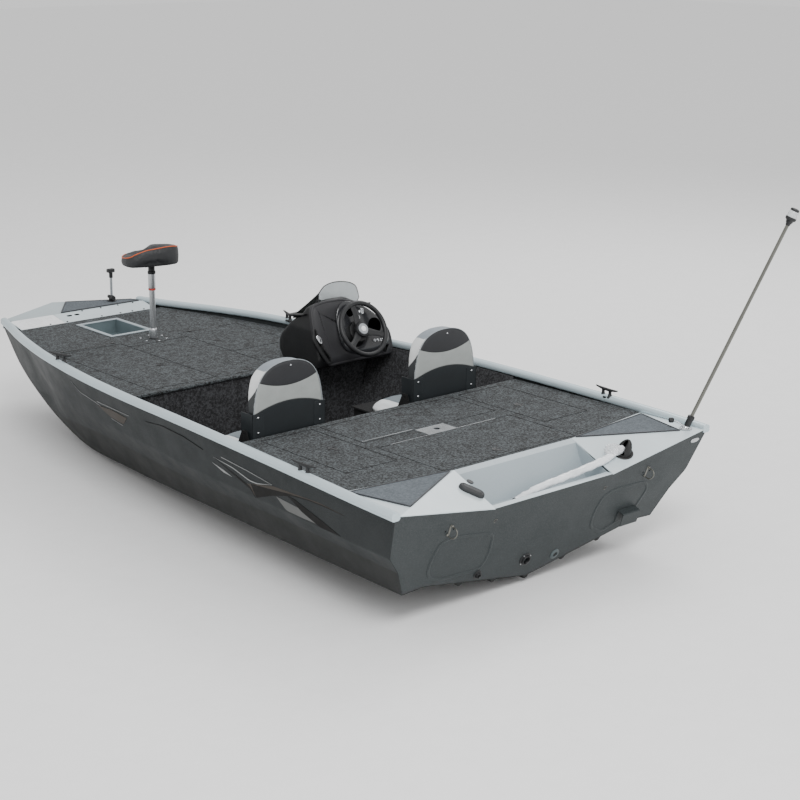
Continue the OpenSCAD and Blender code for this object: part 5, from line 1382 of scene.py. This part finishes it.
# stern light: a jointed foot, its pole and the lamp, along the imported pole
lightFoot = np.array([.902, .06, .404])
leanTurn, leanTilt = math.radians(-41.4), math.radians(23)
poleWay = np.array([math.sin(leanTilt) * math.cos(leanTurn), math.sin(leanTilt) * math.sin(leanTurn),
    math.cos(leanTilt)])
fitted("sternPole", [turnedShape([(0, .034), (.0088, .034), (.0088, .6), (.0082, .604), (.0082, 1.098), (0, 1.098)],
    lightFoot, poleWay, 24)], "poleMetal", angle=30, stands="stern_light")
socket = fitted("sternSocket", [turnedShape([(0, .01), (.012, .01), (.0155, .018), (.0155, .05), (.0175, .052),
    (.0175, .066), (.0125, .07), (0, .07)], lightFoot, poleWay, 28),
    turnedShape([(0, 1.07), (.0105, 1.07), (.0115, 1.078), (.015, 1.084), (.0185, 1.094), (.0255, 1.099),
    (.0262, 1.108), (.025, 1.112), (0, 1.112)], lightFoot, poleWay, 36),
    turnedShape([(0, 1.142), (.0208, 1.142), (.0212, 1.147), (.0195, 1.153), (.01, 1.1555), (0, 1.1555)], lightFoot,
    poleWay, 36)], "black")
lens = fitted("sternLens", [turnedShape([(0, 1.112), (.024, 1.112), (.0246, 1.115), (.0236, 1.118), (.0243, 1.121),
    (.0232, 1.124), (.0238, 1.127), (.0227, 1.13), (.0232, 1.133), (.0222, 1.138), (.0205, 1.1425), (0, 1.1425)],
    lightFoot, poleWay, 40)], "lens", angle=50)
footPlate = [turnedShape([(0, 0.0), (.03, 0.0), (.031, .002), (.028, .0055), (.02, .007), (.0185, .012), (.014, .016),
    (0, .017)], lightFoot, (0, 0, 1), 36)]
footPlate.append(tubeShape([lightFoot + q for q in ((-.006, .006, .012), (-.028, .02, .03), (-.044, .03, .04),
    (-.056, .038, .043))], [.0045, .0035, .003, .0032], 12))
footPlate += [turnedShape([(0, .004), (.0035, .004), (.003, .0075), (0, .008)],
    lightFoot + [.023 * math.cos(q), .023 * math.sin(q), 0], (0, 0, 1), 12) for q in (.5, 2.6, 4.7)]
fitted("sternLightFoot", footPlate, "chrome")
fitted("sternLightKnob", [turnedShape([(0, -.013), (.008, -.012), (.0125, -.008), (.0125, .008), (.009, .013),
    (0, .014)], lightFoot + [-.06, .041, .044], (.8, -.6, 0), 20)], "black")

# cleats: two posts under a tapered horn
for k, (x, y, z, turnBy) in enumerate(((-.967, .628, .4365, -4), (.967, .628, .4365, 4), (-.771, 2.978, .4285, -16),
    (.771, 2.978, .4285, 16))):
    t = math.radians(90 - turnBy)
    way = np.array([math.cos(t), math.sin(t), 0])
    s = np.linspace(-1, 1, 15)
    horn = np.array([x, y, z + .029]) + s[:, None] * .076 * way + np.array([0, 0, 1]) * (.006 * s[:, None] ** 2)
    parts = [tubeShape(horn, .008 - .0046 * np.abs(s) ** 1.6, 14)]
    for e in (-1, 1):
        foot = np.array([x, y, z]) + way * .024 * e
        parts.append(turnedShape([(0, -.012), (.015, -.012), (.0155, -.006), (.011, -.001), (.0082, .01),
            (.008, .022), (.0095, .029), (0, .03)], foot, (0, 0, 1), 20))
    parts.append(turnedShape([(0, -.012), (.02, -.012), (.02, -.007), (.017, -.004), (0, -.004)], np.array([x, y, z]),
        (0, 0, 1), 24))
    cleat = fitted("cleat%d" % k, parts, "black")
    if k == 0:
        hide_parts("cleats")

# pads: a thin dark welt round each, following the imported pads' upper edge
def padEdge(nodeName):
    # outlines of the upward faces of the pads, gathered island by island
    mesh = nodes[nodeName].data
    bm = bmesh.new()
    bm.from_mesh(mesh)
    bmesh.ops.remove_doubles(bm, verts=bm.verts, dist=1e-5)
    bmesh.ops.recalc_face_normals(bm, faces=bm.faces)
    bm.edges.index_update()
    for e in bm.edges:
        upward = [f.normal.z > .6 for f in e.link_faces]
        e.tag = len(upward) == 2 and upward[0] != upward[1]
    loops, left = [], {e.index: e for e in bm.edges if e.tag}
    while left:
        e = left.pop(min(left))
        line = [e.verts[0], e.verts[1]]
        while True:
            nxt = next((q for q in line[-1].link_edges if q.index in left), None)
            if nxt is None:
                break
            del left[nxt.index]
            line.append(nxt.other_vert(line[-1]))
        loops.append([tuple(v.co) for v in line])
    bm.free()
    return loops


welts = []
for line in padEdge("pads"):
    if len(line) > 3:
        p = np.array(line)
        if np.linalg.norm(p[0] - p[-1]) < 1e-4:
            p = p[:-1]
        dense = np.vstack([np.linspace(a, b, max(2, int(np.linalg.norm(b - a) / .03)), endpoint=False) for a,
            b in zip(p, np.roll(p, -1, 0))])
        welts.append(loopShape(dense, .0036, 8))
fitted("padWelts", welts, "padEdge", angle=60)

# bow: screws of the riser and black ovals as painted shade in its holes, the tray's rim, the pedestal, the folding
# light, black strips as painted shade in the gaps round the lids
riser = {"box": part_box("bow_riser"), "deck": .018, "split": -.174}
riserEdge = [np.array(riser["box"][0]) * [0, 1, 1] + [0, 0, riser["deck"]], np.array(riser["box"][1]) * [0, 1, 1]]
riserWay = unit(riserEdge[1] - riserEdge[0])
riserOut = np.cross((1, 0, 0), riserWay)


def onRiser(x, share, lift=0.0):
    # share runs from the riser's lower edge to its upper edge
    return riserEdge[0] + (riserEdge[1] - riserEdge[0]) * share + [x, 0, 0] + riserOut * lift


riserBits = [turnedShape([(0, -.001), (.006, -.001), (.0058, .0022), (.0035, .0034), (0, .0036)], onRiser(x, share),
    riserOut, 14) for share, places in ((.92, (.023, .155, .277, .386)),
    (.09, (-.266, -.151, .089, .222, .308, .392))) for x in places]
fitted("riserScrews", riserBits, "black")
# matte black ovals laid on the riser where its two holes are: painted shade of the openings
holeShadeOvals = [slabShape(roundedBox(.034, .02, .0099, 8), .0012, onRiser(x, .643, -.0004), (1, 0, 0), riserWay, .0003)
    for x in (-.09, -.038)]
fitted("riserHoleShade", holeShadeOvals, "matte")
edge = [onRiser(x, share, .0007) for x, share in ((riser["box"][0][0] + .003, .01), (riser["split"], .01),
    (riser["split"], .99), (riser["box"][0][0] + .003, .99))]
plateFaces = [(0, 1, 2, 3), (7, 6, 5, 4), (0, 4, 5, 1), (1, 5, 6, 2), (2, 6, 7, 3), (3, 7, 4, 0)]
fitted("riserPortPlate", [(np.array(edge + [q - riserOut * .0012 for q in edge]), plateFaces)], "white",
    angle=35)
trayBox = {"x": (-.158, .13), "y": (3.452, 3.84), "in": .025, "low": .3686, "high": .3738}
(xa, xb), (ya, yb), w = trayBox["x"], trayBox["y"], trayBox["in"]
trim = [blockShape((p, q, trayBox["low"]), (r, t, trayBox["high"]), .0015) for p, q, r, t in (
    (xa, ya, xb, ya + w), (xa, yb - w, xb, yb), (xa, ya + w, xa + w, yb - w), (xb - w, ya + w, xb, yb - w))]
fitted("pedalTrayRim", trim, "well")
fitted("trayGrommet", [turnedShape([(0, 0), (.012, 0), (.0165, .001), (.0165, .004), (.012, .007), (0, .0075)],
    (-.098, 3.8195, .338), (0, -1, 0), 28)], "black")

foot = (.022, 3.285, .368)
collar = [turnedShape([(0, .004), (.0215, .004), (.0225, .007), (.0225, .052), (.0205, .06), (.0185, .062),
    (0, .062)], foot, (0, 0, 1), 40)]
fitted("pedestalCollar", collar, "bright", stands="seat_pedestal")
fitted("pedestalFoot", [turnedShape([(0, .0004), (.027, .0004), (.0275, .003), (.0225, .0065), (0, .0065)], foot,
    (0, 0, 1), 40)], "black")
ring = [turnedShape([(0, -.001), (.0062, -.001), (.006, .002), (.0035, .0038), (0, .004)],
    np.array(foot) + [.075 * math.cos(q), .075 * math.sin(q), 0], (0, 0, 1), 16)
    for q in np.radians([18, 78, 142, 205, 262, 318])]
fitted("pedestalScrews", ring, "chrome")
fitted("pedestalPost", [turnedShape([(0, .0625), (.0168, .0625), (.017, .29), (.017, .384), (0, .384)], foot,
    (0, 0, 1), 36), turnedShape([(.017, .296), (.0205, .298), (.021, .302), (.021, .38), (.017, .3805)], foot,
    (0, 0, 1), 36)], "bright", "lean_seat", stands="bow_seat_post")
fitted("pedestalRing", [turnedShape([(0, .286), (.0208, .286), (.0215, .288), (.0215, .293), (.0208, .295),
    (0, .295)], foot, (0, 0, 1), 36)], "red", "lean_seat")
fitted("pedestalHead", [turnedShape([(0, .381), (.0222, .381), (.0232, .384), (.0232, .394), (.0195, .398),
    (.019, .432), (.021, .4348), (0, .4348)], foot, (0, 0, 1), 36),
    blockShape((foot[0] - .08, foot[1] - .06, foot[2] + .4345), (foot[0] + .08, foot[1] + .06, foot[2] + .4395),
    .002)], "black", "lean_seat")

lampAt = np.array([.3, 4.168, .396])
lampParts = [turnedShape([(0, .036), (.0082, .036), (.0082, .172), (0, .172)], lampAt, (0, 0, 1), 24)]
fitted("bowLightPole", lampParts, "satin", "bow_light", stands="bow_light")
head = [turnedShape([(0, .148), (.0105, .148), (.0118, .152), (.0118, .182), (0, .182)], lampAt, (0, 0, 1), 28),
    blockShape(lampAt + [-.0245, -.014, .1815], lampAt + [.0225, .014, .2046], .003),
    blockShape(lampAt + [-.01, -.011, .012], lampAt + [.01, .011, .038], .003)]
fitted("bowLightHead", head, "black", "bow_light")
fitted("bowLightKnob", [turnedShape([(0, -.002), (.014, -.002), (.0155, .001), (.0155, .01), (.012, .013), (0, .013)],
    lampAt + [-.004, -.02, .022], (-.25, -1, .1), 24)], "black")

# black strips set down in the gaps round each lid: painted shade of the gaps
gapShadeStrips = []
for name in ("rear_lid_port", "rear_lid_starboard", "rear_lid_forward", "rear_lid_aft", "front_lid_port",
    "front_lid_starboard", "front_lid_middle"):
    (x0, y0, z0), (x1, y1, z1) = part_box(name)
    a, b, top = .0004, .0026, z1 - .0006
    gapShadeStrips += [blockShape((p, q, top - .012), (r, t, top), .0004) for p, q, r, t in ((x0 - b, y0 - b, x1 + b, y0 - a),
        (x0 - b, y1 + a, x1 + b, y1 + b), (x0 - b, y0 - a, x0 - a, y1 + a), (x1 + a, y0 - a, x1 + b, y1 + a))]
fitted("lidGapShade", gapShadeStrips, "holeShadeBlack")
hinges = []
for x0, x1, y in ((-.56, -.232, 3.322), (.282, .5, 3.292)):
    hinges.append(blockShape((x0, y - .0045, .3675), (x1, y + .0045, .37), .001))
    hinges += [blockShape((x - .01, y - .01, .3675), (x + .01, y + .01, .3725), .0015) for x in (x0, x1)]
fitted("lidHingeStrips", hinges, "black")
fitted("seatPlateStrip", [blockShape((-.345, .7688, .4002), (.327, .7714, .402), .0005)], "bright",
    angle=35)
fitted("lidTrimLine", [blockShape((-.42, .8845, .4014), (-.11, .8875, .4024), .0003)], "bright",
    "rear_lid_forward", angle=35)
print("bow made")

joined("studioFloor", [(np.array([(-40, -40, 0), (40, -40, 0), (40, 40, 0), (-40, 40, 0), (-40, -40, -.01),
    (40, -40, -.01), (40, 40, -.01), (-40, 40, -.01)], float) + [0, 0, studio["floorZ"]],
    [[0, 1, 2, 3], [7, 6, 5, 4], [0, 4, 5, 1], [1, 5, 6, 2], [2, 6, 7, 3], [3, 7, 4, 0]])], mats["pale"])
floor = bpy.data.objects["studioFloor"]
floorMat = material("floorPaper", "plastic", Base=studio["floorColor"], Low=.8, High=.9, Grain=0.0, Dust=.12)
floor.material_slots[0].material = floorMat
